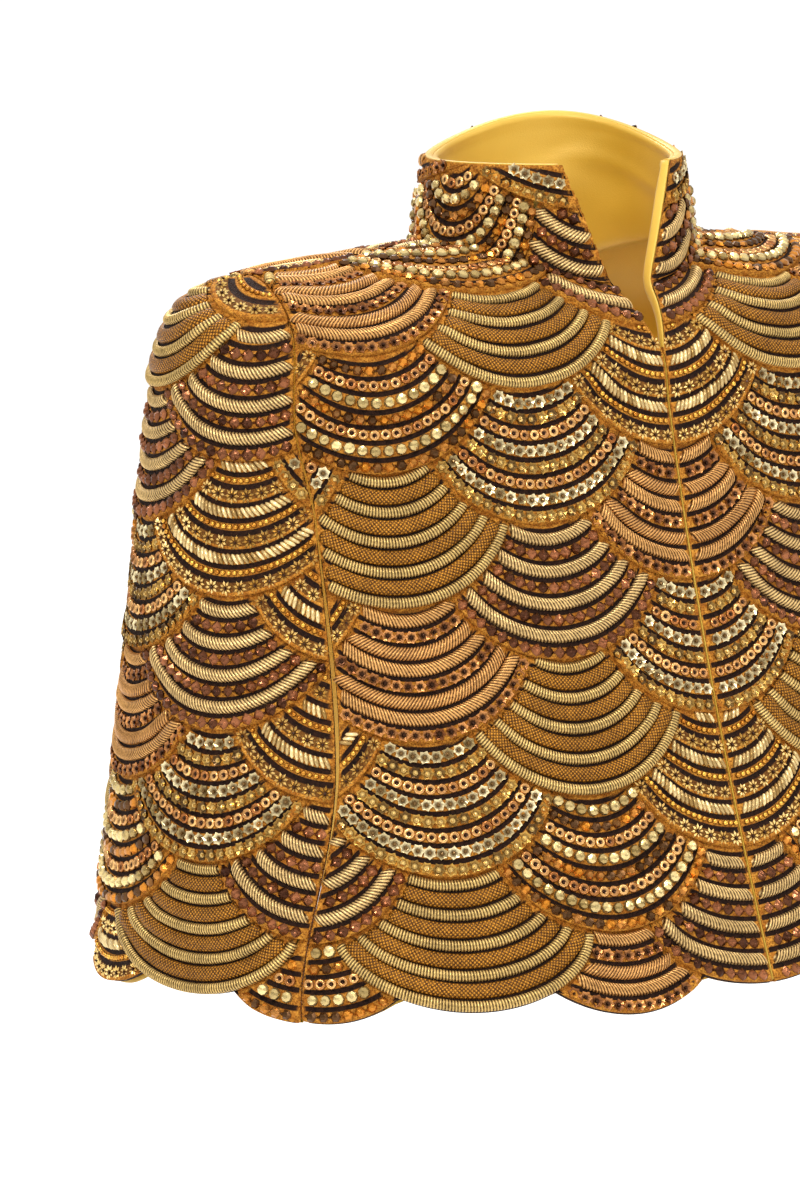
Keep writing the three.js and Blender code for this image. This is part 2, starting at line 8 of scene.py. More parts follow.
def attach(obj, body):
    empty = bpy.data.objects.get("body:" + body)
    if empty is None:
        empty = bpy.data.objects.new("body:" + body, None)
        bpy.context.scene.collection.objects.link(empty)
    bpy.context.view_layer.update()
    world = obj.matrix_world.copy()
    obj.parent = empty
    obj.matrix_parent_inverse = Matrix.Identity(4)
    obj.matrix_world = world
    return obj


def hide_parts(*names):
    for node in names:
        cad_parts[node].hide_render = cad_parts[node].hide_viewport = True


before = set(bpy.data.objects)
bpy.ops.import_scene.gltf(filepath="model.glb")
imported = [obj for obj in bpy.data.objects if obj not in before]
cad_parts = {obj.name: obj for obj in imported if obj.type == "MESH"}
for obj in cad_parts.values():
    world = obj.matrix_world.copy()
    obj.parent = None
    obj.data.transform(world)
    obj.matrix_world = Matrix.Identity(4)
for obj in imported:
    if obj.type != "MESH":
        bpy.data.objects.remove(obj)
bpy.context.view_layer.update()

MM = 0.001
TINY = 1e-9
FAR = 1e4
NO_RUN = (0.0, 0.0, 0.0)

# ---------- the photograph's view ----------
PHOTO_SIZE = (800, 1200)
VIEW_AZIMUTH = math.radians(-33)
VIEW_ELEVATION = math.radians(8.8)
VIEW_DISTANCE = 2.756
FOCAL_PIXELS = 5020.0
ORIGIN_PIXEL = (555, 240)  # where the middle of the neck lies in the photograph
SENSOR = 36.0

# ---------- the jacket's form, as in the part's source ----------
LENGTH = 377.0
SHOULDER_HALF = 237.0
HEM_HALF = 273.0
SHOULDER_ROUND = 32.0
SHOULDER_SLOPE = 0.095
CORNERS = 2.5
FRONT = {"roll": 74.0, "depth": 104.0, "flare": 0.23, "curve": 0.00032}
BACK = {"roll": 64.0, "depth": 93.0, "flare": 0.13, "curve": 0.0}
WALL = 1.8
LINING = 1.0
LAYER_GAP = 0.3
FACING = 34.0
FACING_FOOT = 10.0
SLIT_FACING = 14.0
SLIT_FACING_SPARE = (16, 30)  # how far past the slit its facing runs, below and above
SLIT_SETBACK = 1.2
SEAM_GAP = 1.0
SEAM_DROP = np.array([0.0, 64.0, 127.0, 254.0, 377.0])
SEAM_OUT = np.array([197.0, 209.0, 205.0, 211.0, 240.0])
SLIT = {"top": 125.0, "bottom": 300.0, "half": 0.8, "taper": 1.2}
NECK = {"half_width": 77.0, "half_depth": 73.0, "middle": 2.0}
COLLAR = {"base": (76.5, 72.5), "rim": (70.0, 66.0), "round": 74.5}
COLLAR_ROUND = 2 * math.pi * COLLAR["round"]
COLLAR_HEAD = {"level": 45.5, "rise": 21.0, "lean": 0.576, "bend": 4}
COLLAR_EASE = 0.8
COLLAR_SPREAD = 60  # how much wider its scallops reach, for each height of it, below its foot
OPENING = {"bottom": -54.0, "top": 38.0, "half": 33.0}
OPENING_Y = -20.0  # the opening cuts only what lies in front of this
HEM_SPARE = 12.0
LOWEST = -8.0  # the lowest place on a panel, below the hem's level
LEAST_DROP = 1e-5

SCALE_RADIUS = 67.0
PITCH = 72.0
HEM_ODD_DROP = 7.0
HEM_ODD_CURVE = 0.9
HEM_EVEN_CURVE = 0.6
RELIEF_PLACES = (0.0, 0.38, 0.66, 1.0)
RELIEF_HEIGHTS = (0.6, 2.6, 1.6, 3.6)
RELIEF_EDGE = 1.2
RELIEF_LENGTH = 14  # how much of a scallop has to show for its full relief
RELIEF_LEAST = 0.1
RELIEF_EASE = 2.4  # how far in from a panel's edge the relief has its full height

GROUND_RAISE = 0.9  # how far a band of the ground stands above the dark line beside it
GROUND_STEP = 3.2
INSIDE_STEP = 6.0
CUT_MARGIN = -0.01
LAP = 1.5  # how far a scallop runs on under the one above, and how far in it lies there
LAP_SUNK = 0.8
RIM_SUNK = 0.4
DARK_STOP = 1.2  # how far from the scallop above a dark line ends, and the length over which it fades
DARK_FADE = 1.6
UNDER = 1.2  # how close a row of beads comes to the scallop above
EDGE_MARGIN = 0.7  # how close a cord or a row of beads comes to a panel's edge
SLOPE_STEP = 0.6  # how far each side of a place a surface's slope is measured
TOP_MARGIN = 0.02
WELD = 0.002


def unit(vectors):
    return vectors / np.maximum(np.linalg.norm(vectors, axis=-1, keepdims=True), TINY)


def lengths_along(points):
    """How far along a line of points each of them lies."""
    return np.append(0, np.linalg.norm(np.diff(points, axis=0), axis=1).cumsum())


def mound(at, height, middle, width):
    return height * np.exp(-((at - middle) / width) ** 2)


def add_object(name, data):
    thing = bpy.data.objects.new(name, data)
    bpy.context.scene.collection.objects.link(thing)
    return thing


def place_camera():
    sin_a, cos_a = math.sin(VIEW_AZIMUTH), math.cos(VIEW_AZIMUTH)
    sin_e, cos_e = math.sin(VIEW_ELEVATION), math.cos(VIEW_ELEVATION)
    back = Vector((sin_a * cos_e, -cos_a * cos_e, sin_e))
    right = (-back).cross(Vector((0, 0, 1))).normalized()
    up = right.cross(-back)
    across = (ORIGIN_PIXEL[0] - PHOTO_SIZE[0] / 2) / FOCAL_PIXELS * VIEW_DISTANCE
    rise = (PHOTO_SIZE[1] / 2 - ORIGIN_PIXEL[1]) / FOCAL_PIXELS * VIEW_DISTANCE
    data = bpy.data.cameras.new("photo_camera")
    data.sensor_width = SENSOR
    data.lens = FOCAL_PIXELS * SENSOR / max(PHOTO_SIZE)
    camera = add_object("photo_camera", data)
    camera.matrix_world = Matrix((right, up, back)).transposed().to_4x4()
    camera.location = back * VIEW_DISTANCE - right * across - up * rise
    bpy.context.scene.camera = camera


place_camera()


def depth_at(side, drop):
    share = np.minimum(drop / side["roll"], 1)
    past = np.maximum(drop - side["roll"], 0)
    roll = side["depth"] * np.sqrt(1 - (1 - share) ** 2)
    return roll + side["flare"] * past + side["curve"] * past**2


def half_width_at(drop):
    share = np.minimum(drop / SHOULDER_ROUND, 1)
    straight = SHOULDER_HALF + (HEM_HALF - SHOULDER_HALF) * drop / LENGTH
    return straight - SHOULDER_ROUND * (1 - np.sqrt(1 - (1 - share) ** 2))


def ridge_fall(x, drop):
    outside = np.maximum(np.abs(x) - NECK["half_width"], 0)
    return SHOULDER_SLOPE * outside * np.maximum(1 - drop / LENGTH, 0)


def ring_point(drop, turn):
    power = 2 / CORNERS
    x = half_width_at(drop) * np.abs(np.sin(turn)) ** power
    along = np.abs(np.cos(turn)) ** power
    y = np.where(turn < math.pi / 2, -depth_at(FRONT, drop), depth_at(BACK, drop)) * along
    return np.stack([x, y, -drop - ridge_fall(x, drop)], -1)


def smooth_table(places, values, at):
    """Catmull-Rom through a table's rows."""
    row = np.clip(np.searchsorted(places, at) - 1, 0, len(places) - 2)
    share = (at - places[row]) / (places[row + 1] - places[row])
    a = values[np.maximum(row - 1, 0)]
    b, c = values[row], values[row + 1]
    d = values[np.minimum(row + 2, len(places) - 1)]
    slope, following = (c - a) / 2, (d - b) / 2
    cubic = 2 * b - 2 * c + slope + following
    square = -3 * b + 3 * c - 2 * slope - following
    return b + share * (slope + share * (square + share * cubic))


def seam_turn(drop):
    out = smooth_table(SEAM_DROP, SEAM_OUT, drop)
    return np.arcsin(np.minimum(out / half_width_at(drop), 1) ** (CORNERS / 2))


def slit_half(drop):
    share = np.clip((drop - SLIT["top"]) / (SLIT["bottom"] - SLIT["top"]), 0, 1)
    return SLIT["half"] * np.sin(math.pi * share) ** SLIT["taper"]


class Rings:
    """Lengths round the rings from the middle of the front, and the turns at those lengths."""

    def __init__(self, rows=240, steps=320):
        self.drops = np.append(LENGTH * (np.arange(rows + 1) / rows) ** 3, LENGTH + HEM_SPARE)
        self.drops[0] = LEAST_DROP
        self.turns = np.linspace(0, math.pi, steps + 1)
        points = ring_point(self.drops[:, None], self.turns[None, :])
        pieces = np.linalg.norm(np.diff(points, axis=1), axis=2)
        self.lengths = np.concatenate([np.zeros((len(self.drops), 1)), pieces.cumsum(1)], 1)
        self.totals = self.lengths[:, -1]
        self.shares = np.linspace(0, 1, steps + 1)
        rows = zip(self.lengths, self.totals)
        self.turn_rows = np.array([np.interp(self.shares * total, row, self.turns) for row, total in rows])

    def lookup(self, table, drop, column):
        """table's value between its rows, at a fractional column."""
        row = np.clip(np.searchsorted(self.drops, drop) - 1, 0, len(self.drops) - 2)
        down = (drop - self.drops[row]) / (self.drops[row + 1] - self.drops[row])
        left = np.clip(column.astype(int), 0, table.shape[1] - 2)
        over = column - left
        top = table[row, left] * (1 - over) + table[row, left + 1] * over
        low = table[row + 1, left] * (1 - over) + table[row + 1, left + 1] * over
        return top * (1 - down) + low * down

    def length_at(self, drop, turn):
        return self.lookup(self.lengths, drop, turn / math.pi * (len(self.turns) - 1))

    def turn_at(self, drop, length):
        share = length / np.interp(drop, self.drops, self.totals)
        return self.lookup(self.turn_rows, drop, share * (len(self.shares) - 1))


RINGS = Rings()


# ---------- panels ----------
# A place on a panel is x, the length round the ring from the panel's middle line, and up, the height
# above the hem's level measured on the cloth. Everything on a panel is laid out in these.
CREASES = {  # place across, width and height of each soft fold, deepest near the hem
    "front": ((58, 26, -1.6), (118, 30, 1.8), (176, 24, -1.4)),
    "side": ((-62, 26, -1.2), (-8, 30, 1.6), (52, 24, -1.4)),
    "back": ((-170, 28, 1.6), (-96, 30, -1.6), (-18, 34, 1.8), (66, 28, -1.5), (142, 30, 1.7)),
}
CREASE_HEIGHT = 330
CREASE_TOP = 1.15  # how many of these heights up a fold has gone
CREASE_FADE = 1.5
PANEL_ROWS = 240


class Panel:
    closed, base = False, -FAR

    def __init__(self, kind, origin, limits, rise, spacing, first, first_is_odd, top_gap=0.2):
        self.kind, self.origin, self.limits_at_drop = kind, origin, limits
        self.spacing, self.first_is_odd = spacing, first_is_odd
        drops = np.append(LENGTH + HEM_SPARE, LENGTH * (1 - np.arange(PANEL_ROWS + 1) / PANEL_ROWS) ** 3)
        steps = np.hypot(np.diff(drops), np.diff(rise(drops)))
        heights = np.append(0, steps.cumsum())
        self.heights, self.drops = heights - heights[1], np.maximum(drops, LEAST_DROP)
        self.top = self.heights[-1] - top_gap
        self.first = float(limits(np.array([LENGTH]))[0][0]) if first is None else first

    def limits(self, up):
        return self.limits_at_drop(np.interp(up, self.heights, self.drops))

    def span(self):
        low, high = self.limits(np.linspace(LOWEST, self.top, 60))
        return float(low.min()), float(high.max())

    def form(self, x, up):
        drop = np.interp(up, self.heights, self.drops)
        length = RINGS.length_at(drop, np.full_like(drop, self.origin)) + x
        total = np.interp(drop, RINGS.drops, RINGS.totals)
        past = (length < 0) | (length > total)
        length = np.where(length < 0, -length, np.where(length > total, 2 * total - length, length))
        points = ring_point(drop, RINGS.turn_at(drop, length))
        points[..., 0] = np.where(past, -points[..., 0], points[..., 0])
        return points

    def crease(self, x, up):
        folds = CREASES[self.kind]
        fold = sum(mound(x, height, place, width) for place, width, height in folds)
        return fold * np.clip(CREASE_TOP - up / CREASE_HEIGHT, 0, 1) ** CREASE_FADE

    def cut(self, points, margin=0.0):
        """True where the neck and the opening between the fronts leave no cloth."""
        return in_neck(points, margin) | in_opening(points, margin)

    def trim(self, points):
        """Points inside the neck or the opening, moved out to their edges."""
        moved = points.copy()
        across = points[:, 0] / NECK["half_width"]
        through = (points[:, 1] - NECK["middle"]) / NECK["half_depth"]
        round_ = np.hypot(across, through)
        inside = round_ < 1
        moved[inside, 0] = points[inside, 0] / round_[inside]
        moved[inside, 1] = NECK["middle"] + (points[inside, 1] - NECK["middle"]) / round_[inside]
        return trim_opening(moved)

    def ceiling(self, x):
        return np.full_like(x, self.top)


def in_neck(points, margin=0.0):
    across = points[..., 0] / (NECK["half_width"] + margin)
    through = (points[..., 1] - NECK["middle"]) / (NECK["half_depth"] + margin)
    return across**2 + through**2 < 1


def opening_half(z):
    share = (z - OPENING["bottom"]) / (OPENING["top"] - OPENING["bottom"])
    return OPENING["half"] * np.maximum(share, 0)


def in_opening(points, margin=0.0):
    half = opening_half(points[..., 2] + margin) + margin * (points[..., 2] > OPENING["bottom"] - margin)
    return (points[..., 1] < OPENING_Y) & (np.abs(points[..., 0]) < half)


def trim_opening(points):
    inside = in_opening(points)
    side = np.where(points[inside, 0] < 0, -1, 1)
    points[inside, 0] = side * opening_half(points[inside, 2])
    return points


class Collar:
    """The stand collar's outside: x runs round it from the front to the front, and up from the neck seam."""

    kind = "collar"
    closed, base = True, 0.0

    def __init__(self):
        self.turns = np.linspace(0, math.pi, 181)
        self.feet = self.body_height(self.turns)

    def body_height(self, turns):
        x = NECK["half_width"] * np.sin(turns)
        y = NECK["middle"] - NECK["half_depth"] * np.cos(turns)
        low, high = np.zeros_like(x), np.where(y < 0, FRONT["roll"], BACK["roll"])
        for _ in range(40):
            drop = (low + high) / 2
            share = np.clip(1 - (np.abs(x) / half_width_at(drop)) ** CORNERS, 0, 1) ** (1 / CORNERS)
            reach = np.where(y < 0, depth_at(FRONT, drop), depth_at(BACK, drop)) * share
            low, high = np.where(reach < np.abs(y), drop, low), np.where(reach < np.abs(y), high, drop)
        return -low - ridge_fall(x, low)

    def section(self, x):
        turn = x / COLLAR["round"]
        around = np.abs((turn + math.pi) % (2 * math.pi) - math.pi)
        foot = np.interp(around, self.turns, self.feet)
        rise = ((1 - np.cos(turn + COLLAR_HEAD["lean"])) / 2) ** COLLAR_HEAD["bend"]
        head = COLLAR_HEAD["level"] + COLLAR_HEAD["rise"] * rise
        return turn, foot, head

    def ceiling(self, x):
        _, foot, head = self.section(x)
        return head - foot

    def limits(self, up):
        return np.zeros_like(up), np.full_like(up, COLLAR_ROUND)

    def span(self):
        return 0.0, COLLAR_ROUND

    def form(self, x, up):
        turn, foot, head = self.section(x)
        share = up / (head - foot)
        ease = np.clip(share, 0, 1) ** COLLAR_EASE
        spread = np.maximum(-share, 0) * COLLAR_SPREAD
        rx, ry = (base + (rim - base) * ease + spread for base, rim in zip(COLLAR["base"], COLLAR["rim"]))
        y = NECK["middle"] - ry * np.cos(turn)
        return np.stack([rx * np.sin(turn), y, foot + (head - foot) * share], -1)

    def crease(self, x, up):
        return np.zeros_like(x)

    def cut(self, points, margin=0.0):
        return in_opening(points, margin)

    def trim(self, points):
        return trim_opening(points.copy())


def surface(panel, x, up):
    """Points and outward normals of a panel's cloth, creases included."""
    x, up = np.broadcast_arrays(np.asarray(x, float), np.asarray(up, float))
    top = panel.ceiling(x)
    high = np.minimum(up + SLOPE_STEP, top - TOP_MARGIN)
    across = panel.form(x + SLOPE_STEP, up) - panel.form(x - SLOPE_STEP, up)
    along = panel.form(x, high) - panel.form(x, high - 2 * SLOPE_STEP)
    normals = unit(np.cross(across, along))
    points = panel.form(x, np.minimum(up, top)) + normals * panel.crease(x, up)[..., None]
    return points, normals


def front_limits(drop):
    seam = RINGS.length_at(drop, seam_turn(drop))
    return np.full_like(drop, SEAM_GAP / 2), seam - SEAM_GAP / 2 - slit_half(drop)


def side_limits(drop):
    middle = RINGS.length_at(drop, np.full_like(drop, math.pi / 2))
    near = RINGS.length_at(drop, seam_turn(drop)) - middle + SEAM_GAP / 2 + slit_half(drop)
    return near, RINGS.length_at(drop, math.pi - seam_turn(drop)) - middle - SEAM_GAP / 2


def back_limits(drop):
    half = RINGS.length_at(drop, np.full_like(drop, math.pi))
    half = half - RINGS.length_at(drop, math.pi - seam_turn(drop)) - SEAM_GAP / 2
    return -half, half


FRONT_PANEL = Panel("front", 0, front_limits, lambda d: 0.9 * depth_at(FRONT, d), 85.0, 0.0, False)
SIDE_PANEL = Panel("side", math.pi / 2, side_limits, half_width_at, 74.0, None, True, 1.5)
BACK_PANEL = Panel("back", math.pi, back_limits, lambda d: 0.9 * depth_at(BACK, d), 83.0, 0.0, True)
COLLAR_PANEL = Collar()

# ---------- scallops ----------
# Each recipe goes from the scallop's rim inwards, over and over: what lies on each band, and its width.
RECIPES = {
    "A": (("purl", 7.0), ("pad", 9.2)),
    "B": (("copper", 8.4), ("rope", 8.8)),
    "C": (("gold_flower", 8.8), ("white_flower", 8.8), ("cup", 8.2)),
    "D": (("daisy", 9.9), ("seed", 6.6), ("twist", 8.2)),
    "E": (("pink_flower", 8.6), ("satin_rope", 8.8), ("satin_pad", 9.0)),
    "F": (("amber", 8.2), ("pearl", 9.4), ("cup", 8.2)),
}
DEEPEST = 92.0  # how far in from its rim a scallop is ever seen
LEAST_SHOWN = 0.4
# For each kind of panel and each column away from its first, the recipes from the hem up.
CHART = {
    "front": ("BDCEDBA", "EFABCAF", "ACEAFEB", "FBDDCDA"),
    "side": ("FBDDCDA", "ACBDBDC", "DFECBAE", "BACFDEB"),
    "back": ("EFABCAF", "BDCEDBA", "FAEBDCE", "CEADFBD"),
}
# The collar's rows from its foot up: height of the rims, curve, radius, and the places and recipes round
# each half from the front.
COLLAR_BACK = 234.0
COLLAR_ROWS = (
    (-84.0, 0.5, 60.0, ((68.0, "F"), (150.0, "B"), (COLLAR_BACK, "F"))),
    (-40.0, 1.0, 67.0, ((27.0, "B"), (COLLAR_BACK, "C"))),
    (-38.0, 1.45, 53.0, ((106.0, "F"),)),
    (37.0, 0.55, 67.0, ((50.0, "C"), (142.0, "E"), (COLLAR_BACK, "D"))),
)
NECK_ROWS = {10: 8.0, 11: 15.0}  # how far a front's last rows hang below their even spacing
GROUND_GAP = 2.1  # dark line between two bands
BAND_LIFT = 0.15  # how far above its band's middle a cord or a row of beads lies
BAND_SLOPE = 0.8  # how far a band takes to rise from the dark line
PAINTED_SHADE_BANDS = ("daisy",)  # whose beads lie on ground painted brown, as painted shade round their petals, and not on ochre
PAINTED_SHADE_DARKNESS = 0.6  # how dark that painted shade is, and between which levels of its band it begins
PAINTED_SHADE_FROM = (1.5, 2.0)
SQUEEZE = 0.45  # how much a band's radius falls for each millimetre above the rim


class Scallop:
    def __init__(self, row, middle, recipe, reach):
        self.middle, self.reach = middle, reach
        self.bottom, self.curve, self.radius = row
        bands = RECIPES[recipe]
        self.bands = bands * (int(DEEPEST / sum(width for _, width in bands)) + 1)

    def line(self, level, x):
        """Height of the curve a level above the rim; past its ends it's out of reach."""
        radius = self.radius - SQUEEZE * max(level, 0)
        away = np.abs(x - self.middle)
        bend = radius - np.sqrt(np.maximum(radius**2 - away**2, 0))
        return np.where(away < radius, self.bottom + level + self.curve * bend, FAR)

    def show(self, xs, rim, above):
        self.xs, self.rim, self.above = xs, rim, above

    def relief(self, x, up):
        rim, above = np.interp(x, self.xs, self.rim), np.interp(x, self.xs, self.above)
        length = np.maximum(above - rim, RELIEF_LEAST)
        place = np.clip((above - up) / length, 0, 1)
        height = np.interp(place, RELIEF_PLACES, RELIEF_HEIGHTS)
        return RELIEF_HEIGHTS[0] + (height - RELIEF_HEIGHTS[0]) * np.minimum(length / RELIEF_LENGTH, 1)


def panel_rows(panel, low, high):
    """Each row's height, curve and radius, and its scallops' places and recipes, from the hem up."""
    if panel.closed:
        found = []
        for height, curve, radius, half in COLLAR_ROWS:
            mirrored = [(high - x, recipe) for x, recipe in reversed(half) if x < COLLAR_BACK]
            found.append(((height, curve, radius), list(half) + mirrored))
        return found
    chart = CHART[panel.kind]
    rows = []
    for k in range(int((panel.top + SCALE_RADIUS) / (PITCH / 2)) + 1):
        # The lowest odd row hangs below the hem's level, and the row of even columns starts at it.
        odd = k % 2 == 1
        bottom = k * PITCH / 2 - (NECK_ROWS.get(k, 0.0) if panel.kind == "front" else 0.0)
        rows.append([bottom, odd, HEM_EVEN_CURVE if k == 0 else 1.0])
    rows.insert(0, [-HEM_ODD_DROP, True, HEM_ODD_CURVE])
    found, seen = [], {True: 0, False: 0}
    for bottom, odd, curve in rows:
        first = panel.first + (0 if odd == panel.first_is_odd else panel.spacing)
        begin = math.floor((low - SCALE_RADIUS - first) / (2 * panel.spacing))
        end = math.ceil((high + SCALE_RADIUS - first) / (2 * panel.spacing))
        places = []
        for middle in first + 2 * panel.spacing * np.arange(begin, end + 1):
            recipes = chart[abs(round((middle - panel.first) / panel.spacing)) % len(chart)]
            places.append((middle, recipes[seen[odd] % len(recipes)]))
        seen[odd] += 1
        found.append(((bottom, curve, SCALE_RADIUS), places))
    return found


def scallops_of(panel):
    """The panel's scallops with what shows of each, found from the top row down."""
    low, high = panel.span()
    xs = np.linspace(low - 2, high + 2, int(high - low) + 5)
    above = panel.ceiling(xs).copy()
    found = []
    for row, places in reversed(panel_rows(panel, low, high)):
        edge = above.copy()
        for order, (middle, recipe) in enumerate(places):
            left = (places[order - 1][0] + middle) / 2 if order else low - 2
            right = (places[order + 1][0] + middle) / 2 if order + 1 < len(places) else high + 2
            scallop = Scallop(row, middle, recipe, (left, right))
            rim = np.maximum(scallop.line(0, xs), panel.base)
            shows = (rim < above - LEAST_SHOWN) & (xs >= left) & (xs <= right)
            if shows.sum() > 2:
                scallop.show(xs[shows], rim[shows], above[shows])
                found.append(scallop)
                edge = np.where(shows, np.minimum(edge, rim), edge)
        above = edge
    panel.floor = (xs, above)
    return found


# ---------- meshes ----------
class Batch:
    """Points, faces, values and materials gathered for one mesh; a triangle repeats its last corner."""

    def __init__(self):
        self.points, self.faces, self.runs, self.slots, self.smooth, self.count = [], [], [], [], [], 0

    def add(self, points, faces, run, slot=0, smooth=True):
        points = np.asarray(points, float).reshape(-1, 3)
        faces = np.asarray(faces, int).reshape(-1, 4)
        self.points.append(points)
        self.faces.append(faces + self.count)
        self.runs.append(np.broadcast_to(run, (len(points), 3)))
        self.slots.append(np.full(len(faces), slot))
        self.smooth.append(np.full(len(faces), smooth))
        self.count += len(points)

    def add_grid(self, points, run=NO_RUN, slot=0, drop=None):
        """A grid of rows of points; faces all of whose corners are dropped are left out."""
        faces = grid_faces(*points.shape[:2])
        if drop is not None:
            faces = faces[~drop.reshape(-1)[faces].all(1)]
        self.add(points, faces, np.reshape(run, (-1, 3)), slot)

    def mesh(self, name, materials, mirrored):
        columns = (self.points, self.faces, self.runs, self.slots, self.smooth)
        points, faces, runs, slots, smooth = map(np.concatenate, columns)
        _, first, welded = np.unique(np.round(points / WELD).astype(np.int64), axis=0, return_index=True,
                                     return_inverse=True)
        points, runs, faces = points[first], runs[first], welded.reshape(-1)[faces]
        if mirrored:
            points, faces = points * (-1, 1, 1), faces[:, ::-1]
        corners, sizes, kept = whole_faces(faces)
        used, corners = np.unique(corners, return_inverse=True)
        points, runs = points[used], runs[used]
        mesh = bpy.data.meshes.new(name)
        mesh.vertices.add(len(points))
        mesh.vertices.foreach_set("co", (points * MM).astype(np.float32).reshape(-1))
        mesh.loops.add(len(corners))
        mesh.loops.foreach_set("vertex_index", corners.astype(np.int32).reshape(-1))
        mesh.polygons.add(len(sizes))
        mesh.polygons.foreach_set("loop_start", np.append(0, sizes.cumsum()[:-1]).astype(np.int32))
        mesh.polygons.foreach_set("material_index", slots[kept].astype(np.int32))
        mesh.polygons.foreach_set("use_smooth", smooth[kept])
        mesh.update(calc_edges=True)
        mesh.validate()
        attribute = mesh.attributes.new("run", "FLOAT_VECTOR", "POINT")
        attribute.data.foreach_set("vector", runs.astype(np.float32).reshape(-1))
        for material in materials:
            mesh.materials.append(material)
        return mesh

    def piece(self, name, materials, slot, mirrored=False):
        piece = add_object(name, self.mesh(name, materials, mirrored))
        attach(piece, "root")
        return piece


def whole_faces(faces):
    """Corners, sizes and places of the faces, as squares or triangles; what has no area is left out."""
    same = np.stack([faces[:, k] == faces[:, (k + 1) % 4] for k in range(4)], 1)
    order = np.where(~same.any(1) & (faces[:, 0] != faces[:, 2]) & (faces[:, 1] != faces[:, 3]))[0]
    found = [(faces[order].reshape(-1), np.full(len(order), 4), order)]
    for k in range(4):
        order = np.where(same[:, k] & (same.sum(1) == 1) & (faces[:, k - 1] != faces[:, (k + 2) % 4]))[0]
        order = order[faces[order, k] != faces[order, (k + 2) % 4]]
        triangles = faces[order][:, [k, (k + 2) % 4, (k + 3) % 4]]
        found.append((triangles.reshape(-1), np.full(len(order), 3), order))
    return map(np.concatenate, zip(*found))


def grid_faces(rows, columns):
    corner = np.arange(rows * columns).reshape(rows, columns)
    return np.stack([corner[:-1, :-1], corner[:-1, 1:], corner[1:, 1:], corner[1:, :-1]], -1).reshape(-1, 4)


# ---------- the ground cloth ----------
def ground_levels(bands):
    """Levels above the rim of a scallop's rows, how far each stands up, and how dark it is."""
    rows, level = [(0.0, GROUND_RAISE, 0.0)], 0.0
    for kind, width in bands:
        top = level + width - GROUND_GAP
        # on daisy bands the ground is darkened brown as painted shade between the beads' petals
        dark = PAINTED_SHADE_DARKNESS if kind in PAINTED_SHADE_BANDS else 0.0
        if dark:
            rows += [(level + start, GROUND_RAISE, value) for start, value in zip(PAINTED_SHADE_FROM, (0.0, dark))]
        level += width
        rows += [(top - BAND_SLOPE, GROUND_RAISE, dark), (top, 0.0, 1.0), (level, 0.0, 1.0)]
        rows += [(level + BAND_SLOPE, GROUND_RAISE, 0.0)]
    return np.array(rows)


def panel_edge_share(panel, x, up, reach):
    """0 on a panel's side edges and at the opening, up to 1 a set reach inside them."""
    points = panel.form(x, up)
    beside = (points[..., 1] < OPENING_Y) & (points[..., 2] > OPENING["bottom"])
    inside = np.where(beside, np.abs(points[..., 0]) - opening_half(points[..., 2]), reach)
    if not panel.closed:
        low, high = panel.limits(up)
        inside = np.minimum(inside, np.minimum(x - low, high - x))
    return np.clip(inside / reach, 0, 1)


def stand(panel, scallop, x, up):
    """How far the ground cloth's raised bands stand out of the panel's surface."""
    edge = panel_edge_share(panel, x, up, RELIEF_EASE)
    return RELIEF_EDGE + (scallop.relief(x, up) - RELIEF_EDGE) * edge


def add_ground(batch, panel, scallop):
    first, last = scallop.xs[0], scallop.xs[-1]
    count = max(int((last - first) / GROUND_STEP), 2)
    columns = np.linspace(first, last, count + 1)
    rim, above = np.interp(columns, scallop.xs, scallop.rim), np.interp(columns, scallop.xs, scallop.above)
    lap = np.minimum(above + LAP, panel.ceiling(columns))
    rows = [(rim, -RIM_SUNK, 0.0)]
    for level, raised, dark in ground_levels(scallop.bands):
        rows.append((np.minimum(np.maximum(scallop.line(level, columns), rim), lap), raised, dark))
    rows.append((lap, GROUND_RAISE, 0.0))
    up = np.array([line for line, _, _ in rows])
    raised, dark = (np.array([row[k] for row in rows])[:, None] for k in (1, 2))
    placed = np.clip(columns, *panel.limits(up))
    ends = np.clip((above - up - DARK_STOP) / DARK_FADE, 0, 1) * panel_edge_share(panel, placed, up, 1.0)
    dark = dark * ends
    points, normals = surface(panel, placed, up)
    base = stand(panel, scallop, placed, np.minimum(up, above))
    base = np.where(up > above + 0.1, base - LAP_SUNK, base)
    outer = base + np.where(dark > 0, raised, np.maximum(raised, np.where(ends < 0.5, GROUND_RAISE, raised)))
    floor = np.interp(columns, *panel.floor)
    outer[0] = np.where(rim <= floor + 0.3, -WALL, 0.0)
    run = np.stack([dark, np.zeros_like(dark), np.zeros_like(dark)], -1)
    batch.add_grid(trimmed(panel, points + normals * outer[..., None]), run, 0, panel.cut(points, CUT_MARGIN))


def trimmed(panel, points):
    return panel.trim(points.reshape(-1, 3)).reshape(points.shape)


def add_edge_strips(batch, panel):
    """The cloth turned in along a panel's sides, from its face to its inside."""
    if panel.closed:
        return
    heights = np.append(np.arange(LOWEST, panel.top, 3.0), panel.top)
    for side, sign in ((0, 1), (1, -1)):
        x = panel.limits(heights)[side]
        keep = heights >= np.interp(x, *panel.floor)
        up, x = heights[keep], x[keep]
        points, normals = surface(panel, x, up)
        rows = [points + normals * reach for reach in (RELIEF_EDGE + GROUND_RAISE, -WALL)][::sign]
        batch.add_grid(np.array(rows), drop=np.array([panel.cut(points)] * 2))


